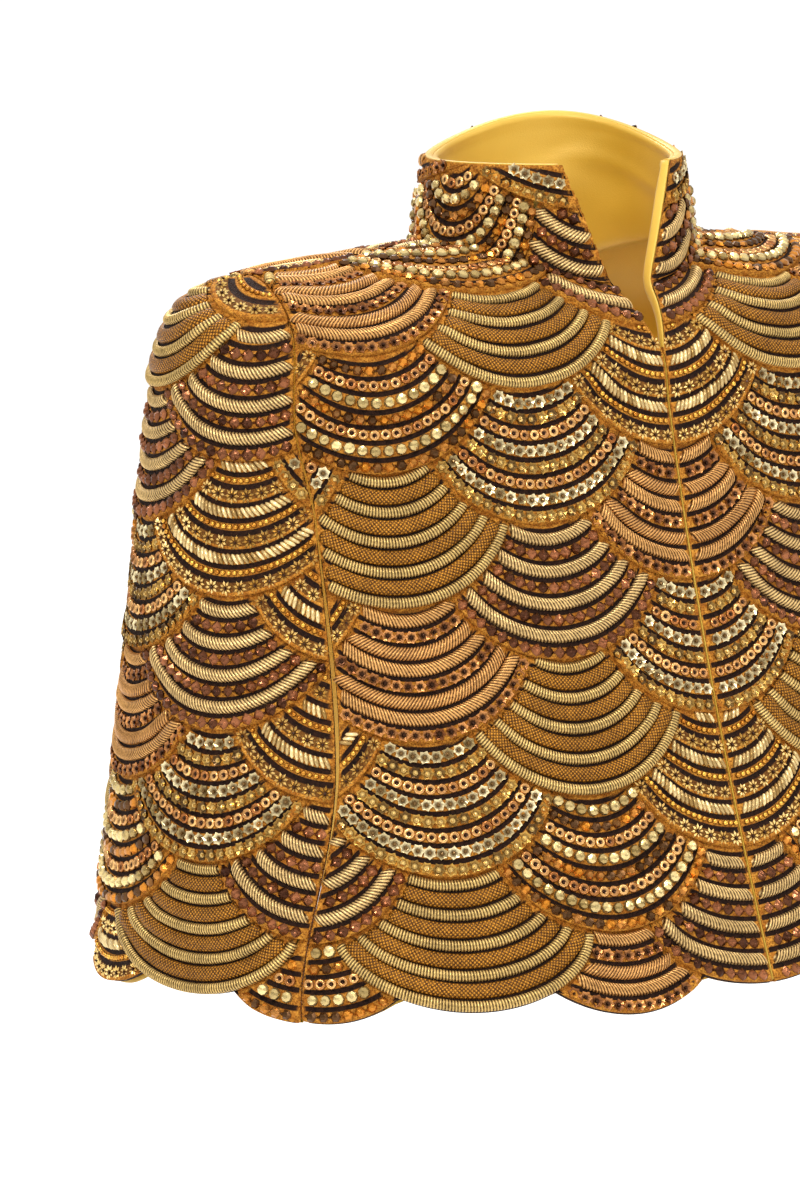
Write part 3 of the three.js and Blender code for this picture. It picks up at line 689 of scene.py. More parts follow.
def inside_batch(panel, depth):
    """The satin inside of a panel, one smooth sheet facing the wearer."""
    batch = Batch()
    low, high = panel.span()
    columns = np.linspace(0, 1, max(int((high - low) / INSIDE_STEP), 4) + 1)
    rows = np.linspace(0, 1, max(int(panel.ceiling(np.zeros(1))[0] / INSIDE_STEP), 4) + 1)
    guess = low + (high - low) * columns
    floor = np.maximum(np.interp(guess, *panel.floor), panel.base)
    up = floor + (panel.ceiling(guess) - floor) * rows[:, None]
    near, far = panel.limits(up)
    x = near + (far - near) * columns
    points, normals = surface(panel, x, up)
    drop = panel.cut(points, CUT_MARGIN)
    batch.add_grid(trimmed(panel, points + normals * -depth)[::-1], drop=drop[::-1])
    return batch


# ---------- runs: where a band shows, and the stations along it ----------
RUN_TURNS = np.linspace(-1.5, 1.5, 260)
RUN_STEP = 0.4  # how far each side of a station its direction is measured


def band_runs(panel, scallop, level, margin):
    radius = scallop.radius - SQUEEZE * level
    x = scallop.middle + radius * np.sin(RUN_TURNS)
    up = scallop.bottom + level + scallop.curve * radius * (1 - np.cos(RUN_TURNS))
    ceiling = panel.ceiling(x)
    on_cloth = np.clip(up, LOWEST, ceiling)
    low, high = panel.limits(on_cloth)
    edge = 0.0 if panel.closed else margin
    keep = (x > scallop.xs[0]) & (x < scallop.xs[-1]) & (x > low + edge) & (x < high - edge)
    keep &= (x > scallop.reach[0] + margin) & (x < scallop.reach[1] - margin)
    keep &= (up < np.interp(x, scallop.xs, scallop.above) - UNDER) & (up < ceiling - margin)
    keep &= (up > panel.base + margin) & ~panel.cut(surface(panel, x, on_cloth)[0], margin)
    edges = np.flatnonzero(np.diff(np.concatenate([[0], keep.astype(int), [0]])))
    return [(x[a:b], up[a:b]) for a, b in zip(edges[::2], edges[1::2]) if b - a > 2]


def stations(panel, scallop, run, spacing, ends, raised):
    """Evenly spaced points, tangents, sideways directions, normals and lengths along a run."""
    along = lengths_along(surface(panel, *run)[0])
    total = along[-1]
    count = int((total - 2 * ends) / spacing) + 1
    if total < 2 * ends + 0.5 or count < 1:
        return None
    rest = (total - (count - 1) * spacing) / 2
    places = rest + spacing * np.arange(count)
    x, up = (np.interp(places, along, value) for value in run)
    here, normals = surface(panel, x, up)
    ahead, behind = (surface(panel, *[np.interp(places + step, along, value) for value in run])[0]
                     for step in (RUN_STEP, -RUN_STEP))
    tangents = square_to(ahead - behind, normals)
    height = stand(panel, scallop, x, up) + raised
    return here + normals * height[:, None], tangents, np.cross(normals, tangents), normals, places


def square_to(vectors, normals):
    """Unit vectors with what lies along the normals taken off."""
    return unit(vectors - normals * (vectors * normals).sum(1, keepdims=True))


# ---------- cords ----------
# Width, height, length of a rib, how far its sides lead its middle, its depth, and flatness
CORDS = {
    "purl": (5.6, 2.3, 1.6, 0.3, 0.1, 0.8),
    "pad": (8.0, 2.2, 3.0, 0.0, 0.02, 0.7),
    "rope": (6.6, 2.4, 1.9, 2.0, 0.11, 0.8),
    "satin_rope": (6.8, 2.4, 1.8, 2.2, 0.1, 0.8),
    "satin_pad": (7.0, 2.5, 1.8, -2.2, 0.09, 0.75),
}
CORD_SLOTS = list(CORDS)
CORD_TURNS = np.linspace(0, math.pi, 6)
CORD_ENDS = 0.3  # how far from the ends of its run a cord begins
CORD_TAPER = 1.8  # the length over which it grows from its tip's size
CORD_TIP = 0.12
CORD_SUNK = 0.35
CORD_SWELL = 0.3  # how much a rib widens a cord, to how much it raises it


def add_cord(batch, panel, scallop, run, kind, shade):
    """A cord with two rows of points to a rib, one on its crest and one in the groove."""
    width, height, rib, lead, depth, flatness = CORDS[kind]
    found = stations(panel, scallop, run, rib / 2, CORD_ENDS, GROUND_RAISE - CORD_SUNK)
    if found is None or len(found[4]) < 4:
        return
    points, tangents, sides, normals, places = found
    end = np.sqrt(np.clip(np.minimum(places - places[0], places[-1] - places) / CORD_TAPER, 0, 1))
    end = (CORD_TIP + (1 - CORD_TIP) * end)[:, None]
    across = np.cos(CORD_TURNS)
    wave = np.where(np.arange(len(places)) % 2, -1, 1)[:, None]
    out = np.sin(CORD_TURNS) ** flatness * height * (1 + depth * wave) * end
    over = across * width / 2 * (1 + CORD_SWELL * depth * wave) * end
    axes = ((sides, over), (normals, out), (tangents, across * lead * end))
    grid = points[:, None] + sum(axis[:, None] * size[..., None] for axis, size in axes)
    along = np.broadcast_to((places - places[0])[:, None] / rib, over.shape)
    values = np.stack([along, np.broadcast_to(across, over.shape), np.full_like(over, shade)], -1)
    batch.add_grid(grid, values, CORD_SLOTS.index(kind))


# ---------- beads: small forms with x along the row, y across it and z out of the cloth ----------
def turned(count, rows):
    """Rings of corners: each row is a radius, a height and a swing of every other corner."""
    turns = 2 * math.pi * np.arange(count) / count
    rings = []
    for radius, height, swing in rows:
        reach = radius * np.where(np.arange(count) % 2 == 0, 1 + swing, 1 - swing)
        rings.append(np.stack([reach * np.cos(turns), reach * np.sin(turns), np.full(count, height)], -1))
    return np.concatenate(rings)


def turned_faces(count, rows):
    corner = np.arange(count)
    following = (corner + 1) % count
    faces = [np.stack([r * count + corner, r * count + following, (r + 1) * count + following,
                       (r + 1) * count + corner], -1) for r in range(rows - 1)]
    tip = np.full(count, rows * count)
    last = (rows - 1) * count
    return np.concatenate([*faces, np.stack([last + corner, last + following, tip, tip], -1)])


def turned_form(count, rows, tip):
    points = np.vstack([turned(count, rows), [(0, 0, tip)]])
    return points, turned_faces(count, len(rows))


def joined(*forms):
    points, faces, base = [], [], 0
    for form_points, form_faces in forms:
        points.append(form_points)
        faces.append(form_faces + base)
        base += len(form_points)
    return np.concatenate(points), np.concatenate(faces)


def moved(form, offset=(0, 0, 0), scale=(1, 1, 1), turn=0.0):
    points = form[0] * scale
    cos, sin = math.cos(turn), math.sin(turn)
    points = np.stack([points[:, 0] * cos - points[:, 1] * sin, points[:, 0] * sin + points[:, 1] * cos,
                       points[:, 2]], -1)
    return points + offset, form[1]


GEM = turned_form(4, [(1.0, 0.0, 0.0)], 1.0)
FLOWER = joined(
    turned_form(12, [(2.6, 0.0, 0.08), (3.1, 1.5, 0.14), (1.5, 0.6, 0.04)], 0.5),
    turned_form(5, [(0.9, 0.4, 0.0), (0.75, 1.5, 0.0)], 1.9),
)
DAISY = joined(
    *[moved(GEM, (2.7 * math.cos(t), 2.7 * math.sin(t), 0.5), (1.75, 0.85, 1.0), t)
      for t in np.arange(8) * math.pi / 4],
    turned_form(6, [(0.85, 0.1, 0.0), (0.7, 1.2, 0.0)], 1.7),
)
COPPER = joined(
    turned_form(8, [(2.5, 0.0, 0.0), (3.15, 1.1, 0.07), (1.3, 3.0, 0.0)], 2.7),
    moved(turned_form(5, [(0.7, 0.0, 0.0), (0.75, 1.2, 0.0)], 1.9), (3.4, 0, 0)),
)
CUP = joined(
    turned_form(9, [(3.0, 0.0, 0.0), (3.05, 1.2, 0.0), (2.1, 2.1, 0.0), (1.0, 0.8, 0.0)], 0.5),
    turned_form(5, [(0.6, 0.4, 0.0)], 1.6),
)
AMBER = joined(
    turned_form(6, [(2.6, 0.0, 0.0), (3.0, 1.2, 0.0), (1.6, 2.9, 0.0)], 3.0),
    moved(turned_form(4, [(0.75, 0.0, 0.0), (0.75, 1.1, 0.0)], 1.8), (3.15, 0, 0)),
)
PEARL = turned_form(8, [(2.6, 0.0, 0.0), (3.3, 1.4, 0.0), (2.7, 2.9, 0.0), (1.2, 3.9, 0.0)], 4.0)
SEED = turned_form(6, [(1.35, 0.0, 0.0), (1.6, 0.9, 0.0), (0.9, 1.9, 0.0)], 2.2)
RICE = {"half": 1.25, "height": 1.9, "foot": 0.2}
RICE_ROWS = ((-3.4, 0.25), (-2.4, 0.85), (0.0, 1.0), (2.4, 0.85), (3.4, 0.25))  # place and size
RICE_TURNS = np.linspace(0, math.pi, 6)


def rice_form():
    across, height = -RICE["half"] * np.cos(RICE_TURNS), RICE["height"] * np.sin(RICE_TURNS)
    rows = [np.stack([across * size, np.full_like(across, place), RICE["foot"] + height * size], -1)
            for place, size in RICE_ROWS]
    return np.concatenate(rows), grid_faces(len(RICE_ROWS), len(RICE_TURNS))[:, ::-1]


# Each kind: its form, its spacing along the row, and whether it is smooth
BEADS = {
    "gold_flower": (FLOWER, 6.2, False),
    "white_flower": (FLOWER, 6.2, False),
    "pink_flower": (FLOWER, 6.2, False),
    "daisy": (moved(DAISY, scale=(0.94, 0.94, 1.0)), 8.0, False),
    "copper": (COPPER, 6.7, False),
    "cup": (CUP, 5.9, True),
    "amber": (AMBER, 6.3, False),
    "pearl": (PEARL, 6.8, False),
    "seed": (SEED, 3.3, True),
    "twist": (moved(rice_form(), turn=-0.55), 2.75, True),
}
BEAD_SLOTS = list(BEADS)
BEADS_IN_LINE = ("twist", "copper", "amber")  # which hardly turn out of their row
BEAD_SWING, LEAST_SWING = 0.4, 0.06
BEAD_ENDS, SEED_ENDS = 2.4, 1.2
BEAD_SIZES = (0.92, 1.06)
BEAD_TILT = 0.07
BEAD_SUNK = 0.3


def add_beads(batch, panel, scallop, run, kind, rng):
    (points_of_form, faces), spacing, smooth = BEADS[kind]
    ends = SEED_ENDS if kind == "seed" else BEAD_ENDS
    found = stations(panel, scallop, run, spacing, ends, GROUND_RAISE - BEAD_SUNK)
    if found is None:
        return
    points, tangents, sides, normals, _ = found
    count, size = len(points), len(points_of_form)
    scale = rng.uniform(*BEAD_SIZES, count)[:, None]
    swing = LEAST_SWING if kind in BEADS_IN_LINE else BEAD_SWING
    turn = rng.uniform(-swing, swing, count)
    tilt = rng.normal(0, BEAD_TILT, (count, 2))
    up = unit(normals + tangents * tilt[:, :1] + sides * tilt[:, 1:])
    along = square_to(tangents * np.cos(turn)[:, None] + sides * np.sin(turn)[:, None], up)
    axes = (along, np.cross(up, along), up)
    local = points_of_form[None] * scale[:, None]
    placed = points[:, None] + sum(local[..., k : k + 1] * axis[:, None] for k, axis in enumerate(axes))
    all_faces = (faces[None] + (np.arange(count) * size)[:, None, None]).reshape(-1, 4)
    tone = np.repeat(rng.uniform(0, 1, count), size)
    # each corner's share of its form's height, which the bead looks darken low down as painted shade
    height = np.tile(points_of_form[:, 2] / points_of_form[:, 2].max(), count)
    spread = np.tile(np.hypot(points_of_form[:, 0], points_of_form[:, 1]) / 3, count)
    batch.add(placed, all_faces, np.stack([tone, height, spread], -1), BEAD_SLOTS.index(kind), smooth)


def dress(panel, rng):
    """The cords and beads on a panel's scallops."""
    cords, beads = Batch(), Batch()
    for scallop in panel.scallops:
        level = 0.0
        for kind, width in scallop.bands:
            middle = level + (width - GROUND_GAP) / 2 + BAND_LIFT
            for run in band_runs(panel, scallop, middle, EDGE_MARGIN):
                if kind in CORDS:
                    add_cord(cords, panel, scallop, run, kind, rng.uniform(0, 1))
                else:
                    add_beads(beads, panel, scallop, run, kind, rng)
            level += width
    return cords, beads


# ---------- piping ----------
PIPING_SIDES = 8
PIPING_TURNS = 2 * math.pi * np.arange(PIPING_SIDES) / PIPING_SIDES
PIPING_STEP = 2.2
PIPING_END = 0.6  # how near a hem's piping comes to its panel's sides
# How far each lies in from its line, half its width, its thickness, and how far out it lies.
PIPINGS = {
    "hem": (0.6, 1.1, 1.9, 0.4),
    "front_slit": (0.2, 0.5, 1.2, 0.0),
    "side_slit": (-0.1, 0.4, 1.2, 0.0),
    "rim": (0.0, 0.8, 2.4, -0.7),
}


def add_piping(batch, points, sides, normals, half, thick):
    """A soft roll along a line. Its length is its run, which the ground cloth's look shows as dark."""
    across = np.cos(PIPING_TURNS)[None, :, None] * np.reshape(half, (-1, 1, 1))
    out = np.sin(PIPING_TURNS)[None, :, None] * np.reshape(thick, (-1, 1, 1))
    ring = points[:, None] + sides[:, None] * across + normals[:, None] * out
    closed = np.concatenate([ring, ring[:, :1]], 1)
    run = np.zeros_like(closed)
    run[..., 0] = lengths_along(points)[:, None]
    batch.add_grid(closed, run)
    corner, tip = np.arange(PIPING_SIDES), np.full(PIPING_SIDES, PIPING_SIDES)
    for end, order in ((0, -1), (-1, 1)):
        corners = np.vstack([ring[end][::order], points[end]])
        batch.add(corners, np.stack([corner, (corner + 1) % PIPING_SIDES, tip, tip], -1), NO_RUN)


def side_directions(points, normals):
    return unit(np.cross(normals, unit(np.gradient(points, axis=0))))


def pipe_along(batch, panel, x, up, kind):
    """Piping along a line on a panel, set in from the line to its left."""
    inset, half, thick, out = PIPINGS[kind]
    points, normals = surface(panel, x, up)
    sides = side_directions(points, normals)
    add_piping(batch, points + sides * inset + normals * out, sides, normals, half, thick)


def front_edge():
    """The line up a front's middle edge and its side of the throat opening, to the neck seam."""
    up = np.arange(1.0, FRONT_PANEL.top - 1, 3.0)
    x = np.full_like(up, SEAM_GAP / 2)
    for _ in range(6):
        points, _ = surface(FRONT_PANEL, x, up)
        x = np.maximum(opening_half(points[:, 2]), SEAM_GAP / 2) + x - np.maximum(points[:, 0], SEAM_GAP / 2)
        x = np.maximum(x, SEAM_GAP / 2)
    keep = ~in_neck(surface(FRONT_PANEL, x, up)[0])
    return x[keep], up[keep]


def collar_edge():
    """The line up the collar's side of the throat opening."""
    share = np.linspace(0, 1, 24)
    x = np.full_like(share, 12.0)
    for _ in range(12):
        up = share * COLLAR_PANEL.ceiling(x)
        points = COLLAR_PANEL.form(x, up)
        x = x + opening_half(points[:, 2]) - points[:, 0]
    return x, share * COLLAR_PANEL.ceiling(x)


def lining_shell(panel, x_rows, up_rows, fold=None):
    """A thin closed sheet of satin lying inside a panel, from rows of places on it."""
    batch = Batch()
    points, normals = surface(panel, x_rows, up_rows)
    wave = 0.0 if fold is None else fold(x_rows, up_rows)[..., None]
    depth = WALL + LAYER_GAP
    outer, inner = points - normals * depth, points - normals * (depth + LINING + wave)
    drop = np.zeros(points.shape[:2], bool) if panel.closed else in_neck(points)
    batch.add_grid(outer, drop=drop)
    batch.add_grid(inner[::-1], drop=drop[::-1])
    for k, order in ((0, 1), (-1, -1)):
        batch.add_grid(np.stack([inner[k], outer[k]][::order]), drop=np.stack([drop[k]] * 2))
        batch.add_grid(np.stack([outer[:, k], inner[:, k]][::order]), drop=np.stack([drop[:, k]] * 2))
    return batch


# ---------- materials ----------
def paint(red, green, blue):
    """A colour as seen on screen, 0 to 255, as the shader takes it."""
    values = [value / 255 for value in (red, green, blue)]
    return (*[v / 12.92 if v < 0.04045 else ((v + 0.055) / 1.055) ** 2.4 for v in values], 1.0)


class Look:
    """One procedural material, built node by node."""

    def __init__(self, name, roughness, metallic=0.0, sheen=0.0, coat=0.0, specular=0.5):
        self.material = bpy.data.materials.new(name)
        self.material.use_nodes = True
        self.nodes, self.links = self.material.node_tree.nodes, self.material.node_tree.links
        self.shader = self.nodes["Principled BSDF"]
        sockets = {"Roughness": roughness, "Metallic": metallic, "Sheen Weight": sheen, "Coat Weight": coat,
                   "Specular IOR Level": specular}
        for socket, value in sockets.items():
            self.shader.inputs[socket].default_value = value
        self.place = self.add("TexCoord").outputs["Object"]
        attribute = self.add("Attribute", attribute_name="run")
        split = self.add("SeparateXYZ", {0: attribute.outputs["Vector"]})
        self.run, self.across, self.shade = split.outputs

    def add(self, kind, values=None, **settings):
        node = self.nodes.new("ShaderNode" + kind)
        for name, value in settings.items():
            setattr(node, name, value)
        for socket, value in (values or {}).items():
            if isinstance(value, bpy.types.NodeSocket):
                self.links.new(value, node.inputs[socket])
            else:
                node.inputs[socket].default_value = value
        return node

    def math(self, operation, *values):
        return self.add("Math", dict(enumerate(values)), operation=operation).outputs[0]

    def stretch(self, value, low, high, first=0.0, last=1.0):
        """value's range low to high as first to last."""
        return self.add("MapRange", {0: value, 1: low, 2: high, 3: first, 4: last}).outputs[0]

    def noise(self, scale, detail=2.0):
        return self.add("TexNoise", {"Vector": self.place, "Scale": scale, "Detail": detail}).outputs[0]

    def cells(self, scale):
        return self.add("TexVoronoi", {"Vector": self.place, "Scale": scale}).outputs["Distance"]

    def mix(self, share, low, high):
        return self.add("Mix", {0: share, 6: low, 7: high}, data_type="RGBA").outputs[2]

    def colour(self, value):
        self.links.new(value, self.shader.inputs["Base Color"])

    def bump(self, height, distance, strength=1.0):
        bump = self.add("Bump", {"Height": height, "Distance": distance, "Strength": strength})
        self.links.new(bump.outputs[0], self.shader.inputs["Normal"])

    def rough(self, value, low, high):
        self.links.new(self.stretch(value, 0.0, 1.0, low, high), self.shader.inputs["Roughness"])

    def ribs(self, rate=1.0, slant=0.0):
        """0 to 1 across the turns of a thread wound round a cord, rate of them to each rib of its form."""
        turn = self.math("MULTIPLY_ADD", self.across, slant, self.math("MULTIPLY", self.run, rate))
        wave = self.math("COSINE", self.math("MULTIPLY", turn, 2 * math.pi))
        return self.math("MULTIPLY_ADD", wave, 0.5, 0.5)


def ground_look():
    look = Look("ochre_ground", 0.75, specular=0.15)
    ochre = look.mix(look.stretch(look.noise(260.0), 0.35, 0.65), paint(168, 102, 28), paint(214, 148, 54))
    loops = look.cells(900.0)
    ochre = look.mix(look.stretch(loops, 0.1, 0.75), paint(122, 68, 14), ochre)
    dark = look.mix(look.stretch(look.noise(500.0), 0.3, 0.7), paint(22, 9, 4), paint(48, 26, 14))
    # the run darkens the ground at the dark lines between bands, and partway as painted shade on the daisy
    # bands
    look.colour(look.mix(look.stretch(look.run, 0.25, 0.75), ochre, dark))
    look.bump(look.math("MULTIPLY_ADD", look.noise(1400.0), 0.6, loops), 0.0006, 0.9)
    return look.material


def thread_look(name, dark, light, metallic, roughness, netted=False):
    look = Look(name, roughness, metallic, specular=0.25)
    fine = look.noise(820.0)
    ribs = look.math("MULTIPLY", look.ribs(1.4, 1.8), look.ribs(1.4, -1.8)) if netted else look.ribs()
    share = look.math("MULTIPLY_ADD", look.stretch(fine, 0.3, 0.7), 0.35, look.math("MULTIPLY", ribs, 0.85))
    # painted highlight and painted shade: ribbed cords are lighter on the crests of their ribs and darker in
    # the grooves; on the netted pad this mix draws its gold stitching on brown
    colour = look.mix(look.stretch(share, 0.12, 1.05), dark, light)
    worn = look.math("MULTIPLY", look.stretch(look.noise(60.0), 0.4, 0.7), 0.3)
    look.colour(look.mix(worn, colour, dark))
    look.rough(fine, roughness - 0.08, roughness + 0.14)
    look.bump(look.math("MULTIPLY_ADD", fine, 0.5, ribs), 0.0004, 0.8)
    return look.material


def bead_look(name, low, high, metallic, roughness, heart=None, coat=0.0, third=None, painted_shade_reach=0.7):
    """Beads from low to high, or a third colour, each its own; heart is the colour in their middle. Each bead
    is darkened towards its foot, below a share of its height, as painted shade.
    """
    look = Look(name, roughness, metallic, coat=coat)
    colour = look.mix(look.run, low, high)
    if third:
        colour = look.mix(look.stretch(look.run, 0.4, 0.46), third, colour)
    # painted shade: the low part of each bead is mixed towards dark brown
    colour = look.mix(look.stretch(look.across, painted_shade_reach, 0.0), colour, paint(60, 32, 14))
    if heart:
        colour = look.mix(look.stretch(look.shade, 0.55, 0.35), colour, heart)
    look.colour(colour)
    look.rough(look.noise(700.0), roughness * 0.6, roughness * 1.6)
    look.bump(look.noise(1200.0), 0.0002, 0.4)
    return look.material


def satin_look(name, shade, light):
    look = Look(name, 0.4, 0.15, sheen=0.15)
    # painted light and painted shade: the satin's colour swings in broad soft patches between its shaded tone
    # and its lit tone
    soft = look.stretch(look.noise(9.0, 3.0), 0.35, 0.68)
    look.colour(look.mix(soft, shade, light))
    look.bump(look.math("MULTIPLY_ADD", look.noise(18.0), 8.0, look.noise(1600.0)), 0.0005, 0.3)
    return look.material


GROUND = ground_look()
# the satin's painted shade colour, then its painted light colour
SATIN = satin_look("gold_satin", paint(200, 156, 40), paint(226, 184, 70))
# each cord's dark and light colour: on the ribbed cords, painted shade for the grooves and painted highlight
# for the crests
CORD_LOOKS = [
    thread_look("pale_gold_purl", paint(50, 28, 6), paint(228, 190, 114), 0.6, 0.32),
    thread_look("brown_pad", paint(66, 34, 2), paint(224, 152, 48), 0.5, 0.4, netted=True),
    thread_look("pale_gold_rope", paint(56, 30, 8), paint(242, 202, 132), 0.6, 0.3),
    thread_look("rose_gold_rope", paint(66, 32, 6), paint(236, 176, 102), 0.6, 0.3),
    thread_look("rose_gold_pad", paint(64, 30, 6), paint(228, 166, 94), 0.6, 0.3),
]
DARK_HEART = paint(54, 28, 10)
BEAD_LOOKS = [
    bead_look("gold_flowers", paint(74, 50, 16), paint(190, 146, 66), 0.75, 0.2, paint(216, 180, 106)),
    bead_look("white_flowers", paint(140, 116, 64), paint(244, 226, 176), 0.6, 0.2, paint(110, 80, 36)),
    bead_look("pink_flowers", paint(112, 62, 26), paint(216, 148, 84), 0.8, 0.22, DARK_HEART),
    bead_look("gold_daisies", paint(196, 152, 68), paint(248, 216, 140), 0.6, 0.24, DARK_HEART, painted_shade_reach=0.3),
    bead_look("copper_crystals", paint(58, 30, 16), paint(156, 96, 60), 0.85, 0.2),
    bead_look("rose_gold_cups", paint(166, 100, 46), paint(244, 190, 118), 0.75, 0.2, DARK_HEART),
    bead_look("amber_crystals", paint(150, 112, 74), paint(214, 134, 36), 0.8, 0.18, third=paint(92, 62, 34)),
    bead_look("champagne_beads", paint(150, 122, 66), paint(244, 218, 150), 0.75, 0.18, coat=0.2),
    bead_look("gold_seeds", paint(176, 106, 22), paint(242, 188, 78), 0.75, 0.2),
    bead_look("pale_gold_twists", paint(150, 114, 54), paint(244, 218, 156), 0.55, 0.26, painted_shade_reach=0.45),
]

# ---------- the jacket ----------
for each in (FRONT_PANEL, SIDE_PANEL, BACK_PANEL, COLLAR_PANEL):
    each.scallops = scallops_of(each)


def cloth_area(mesh):
    return sum(polygon.area for polygon in mesh.polygons)


def cut_area(panel):
    """The area of a panel's plain cloth, in square metres."""
    mesh = inside_batch(panel, 0.0).mesh("cut", [], False)
    area = cloth_area(mesh)
    bpy.data.meshes.remove(mesh)
    return area


def dress_panel(panel, sides, rng):
    """Ground cloth, inside, cords and beads of one panel, for each named side."""
    ground = Batch()
    for scallop in panel.scallops:
        add_ground(ground, panel, scallop)
    add_edge_strips(ground, panel)
    cords, beads = dress(panel, rng)
    inside = None if panel.closed else inside_batch(panel, WALL)
    low, high = panel.span()
    area = cut_area(panel)
    for name, mirrored in sides:
        cloth = ground.piece(f"{name}_ground", [GROUND], "embroidered_cloth", mirrored)
        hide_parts(name)
        if inside:
            lining = inside.piece(f"{name}_inside", [SATIN], "satin", mirrored)
        cords.piece(f"{name}_cords", CORD_LOOKS, "embroidered_cloth", mirrored)
        beads.piece(f"{name}_beads", BEAD_LOOKS, "embroidered_cloth", mirrored)


dress_panel(FRONT_PANEL, (("front_left", False), ("front_right", True)), np.random.default_rng(11))
dress_panel(SIDE_PANEL, (("side_left", False), ("side_right", True)), np.random.default_rng(12))
dress_panel(BACK_PANEL, (("back", False),), np.random.default_rng(13))
dress_panel(COLLAR_PANEL, (("collar", False),), np.random.default_rng(14))


# The collar's satin: folds that slant, with how many go round, their height, start and share, one that
# lies level, and a roll below the rim. Each bump has its height, how far below the rim it is, and width.
LINING_SLANTS = ((4, 13, 0.0, 1.0), (7, -9, 1.3, 0.7))
LINING_LEVEL = (2.6, 26, 5)
LINING_ROLL = (1.5, 1.8, 2.2)
LINING_SOFT = {"least": 0.3, "rest": 2.0, "slant": 1.8, "wander": 4, "height": 64}


def lining_folds(x, up):
    """Soft folds of the collar's satin, fullest at the back."""
    turn = x / COLLAR["round"]
    below = COLLAR_PANEL.ceiling(x) - up
    full = np.clip((1 - np.cos(turn)) / 2, LINING_SOFT["least"], 1)
    slant = sum(share * np.sin(turn * count + up / height + start)
                for count, height, start, share in LINING_SLANTS)
    level = mound(below - LINING_SOFT["wander"] * np.sin(2 * turn), *LINING_LEVEL)
    soft = full * (LINING_SOFT["rest"] + LINING_SOFT["slant"] * slant + level)
    return mound(below, *LINING_ROLL) + soft * np.sin(np.clip(up / LINING_SOFT["height"], 0, 1) * math.pi)


def make_collar_lining():
    edge, edge_up = collar_edge()
    share = np.linspace(-0.04, 1.0, 26)[:, None]
    start = np.interp(share, edge_up / COLLAR_PANEL.ceiling(edge), edge) + 0.4
    x = start + (COLLAR_ROUND - 2 * start) * np.linspace(0, 1, 145)
    up = share * COLLAR_PANEL.ceiling(x)
    piece = lining_shell(COLLAR_PANEL, x, up, lining_folds).piece("collar_lining_satin", [SATIN], "satin")
    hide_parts("collar_lining")


def make_facing(node, panel, limits, heights, mirrored):
    near, far = limits(heights)
    x = near + (far - near) * np.linspace(0, 1, 7)[:, None]
    up = np.broadcast_to(heights, x.shape)
    piece = lining_shell(panel, x.T, up.T).piece(f"{node}_satin", [SATIN], "satin", mirrored)
    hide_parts(node)


def front_facing_limits(up):
    edge, edge_up = front_edge()
    return np.interp(up, edge_up, edge), np.full_like(up, FACING)


def slit_front_limits(up):
    edge = FRONT_PANEL.limits(up)[1]
    return edge - SLIT_FACING, edge - SLIT_SETBACK


def slit_side_limits(up):
    edge = SIDE_PANEL.limits(up)[0]
    return edge + SLIT_SETBACK, edge + SLIT_FACING


SIDES = (("left", False), ("right", True))  # and whether each is the mirror of what is laid out


def make_facings():
    whole = np.arange(FACING_FOOT, FRONT_PANEL.top - 0.5, INSIDE_STEP)
    below, above = SLIT_FACING_SPARE
    slit = np.arange(LENGTH - SLIT["bottom"] - below, LENGTH - SLIT["top"] + above, INSIDE_STEP)
    for side, mirrored in SIDES:
        make_facing(f"front_facing_{side}", FRONT_PANEL, front_facing_limits, whole, mirrored)
        make_facing(f"slit_facing_front_{side}", FRONT_PANEL, slit_front_limits, slit, mirrored)
        make_facing(f"slit_facing_side_{side}", SIDE_PANEL, slit_side_limits, slit, mirrored)


# Lengths along the opening from the hem, and half the width and the thickness of the satin folded back
FOLD_HALF = ((0.0, 240.0, 330.0, 400.0, 480.0), (0.5, 0.6, 1.0, 0.8, 0.4))
FOLD_THICK = ((0.0, 300.0, 340.0, 380.0, 440.0, 480.0), (1.6, 1.7, 2.4, 3.4, 3.2, 1.6))
FOLD_SIDE, FOLD_FACE = 0.55, 1.6  # how far its edge and its face lie from the opening's line
FOLD_STEP = 2.5
FOLD_SMOOTHING = 9
BINDING = {"out": 0.3, "half": 0.6, "thick": 1.9}


def opening_line():
    """The line up a front's middle edge and on up the collar's, made smooth where they meet."""
    front, front_normals = surface(FRONT_PANEL, *front_edge())
    collar, collar_normals = surface(COLLAR_PANEL, *collar_edge())
    points, normals = np.concatenate([front, collar]), np.concatenate([front_normals, collar_normals])
    along = lengths_along(points)
    even = np.arange(0, along[-1], FOLD_STEP)
    spread = np.hanning(FOLD_SMOOTHING + 2)[1:-1]
    spread /= spread.sum()
    edge = FOLD_SMOOTHING // 2
    smoothed = []
    for values in (points, normals):
        values = np.stack([np.interp(even, along, column) for column in values.T], 1)
        middle = np.stack([np.convolve(column, spread, "valid") for column in values.T], 1)
        values[edge:-edge] = middle
        smoothed.append(values)
    return smoothed[0], unit(smoothed[1]), even


def make_opening_edges():
    """A satin fold up the left of the opening and a dark binding up its right."""
    fold, binding = Batch(), Batch()
    points, normals, along = opening_line()
    sides = side_directions(points, normals)
    half, thick = np.interp(along, *FOLD_HALF), np.interp(along, *FOLD_THICK)
    inner = points + sides * (FOLD_SIDE - half)[:, None] + normals * (FOLD_FACE - thick)[:, None]
    outer = points - sides * BINDING["out"] + normals * BINDING["out"]
    add_piping(fold, inner, sides, normals, half, thick)
    add_piping(binding, outer, sides, normals, BINDING["half"], BINDING["thick"])
    fold.piece("opening_fold_left", [SATIN], "satin")
    binding.piece("opening_binding_right", [GROUND], "embroidered_cloth", True)


def add_hem(batch, panel):
    low, high = panel.limits(np.zeros(1))
    x = np.arange(low[0] + PIPING_END, high[0] - PIPING_END, PIPING_STEP)
    pipe_along(batch, panel, x, np.interp(x, *panel.floor), "hem")


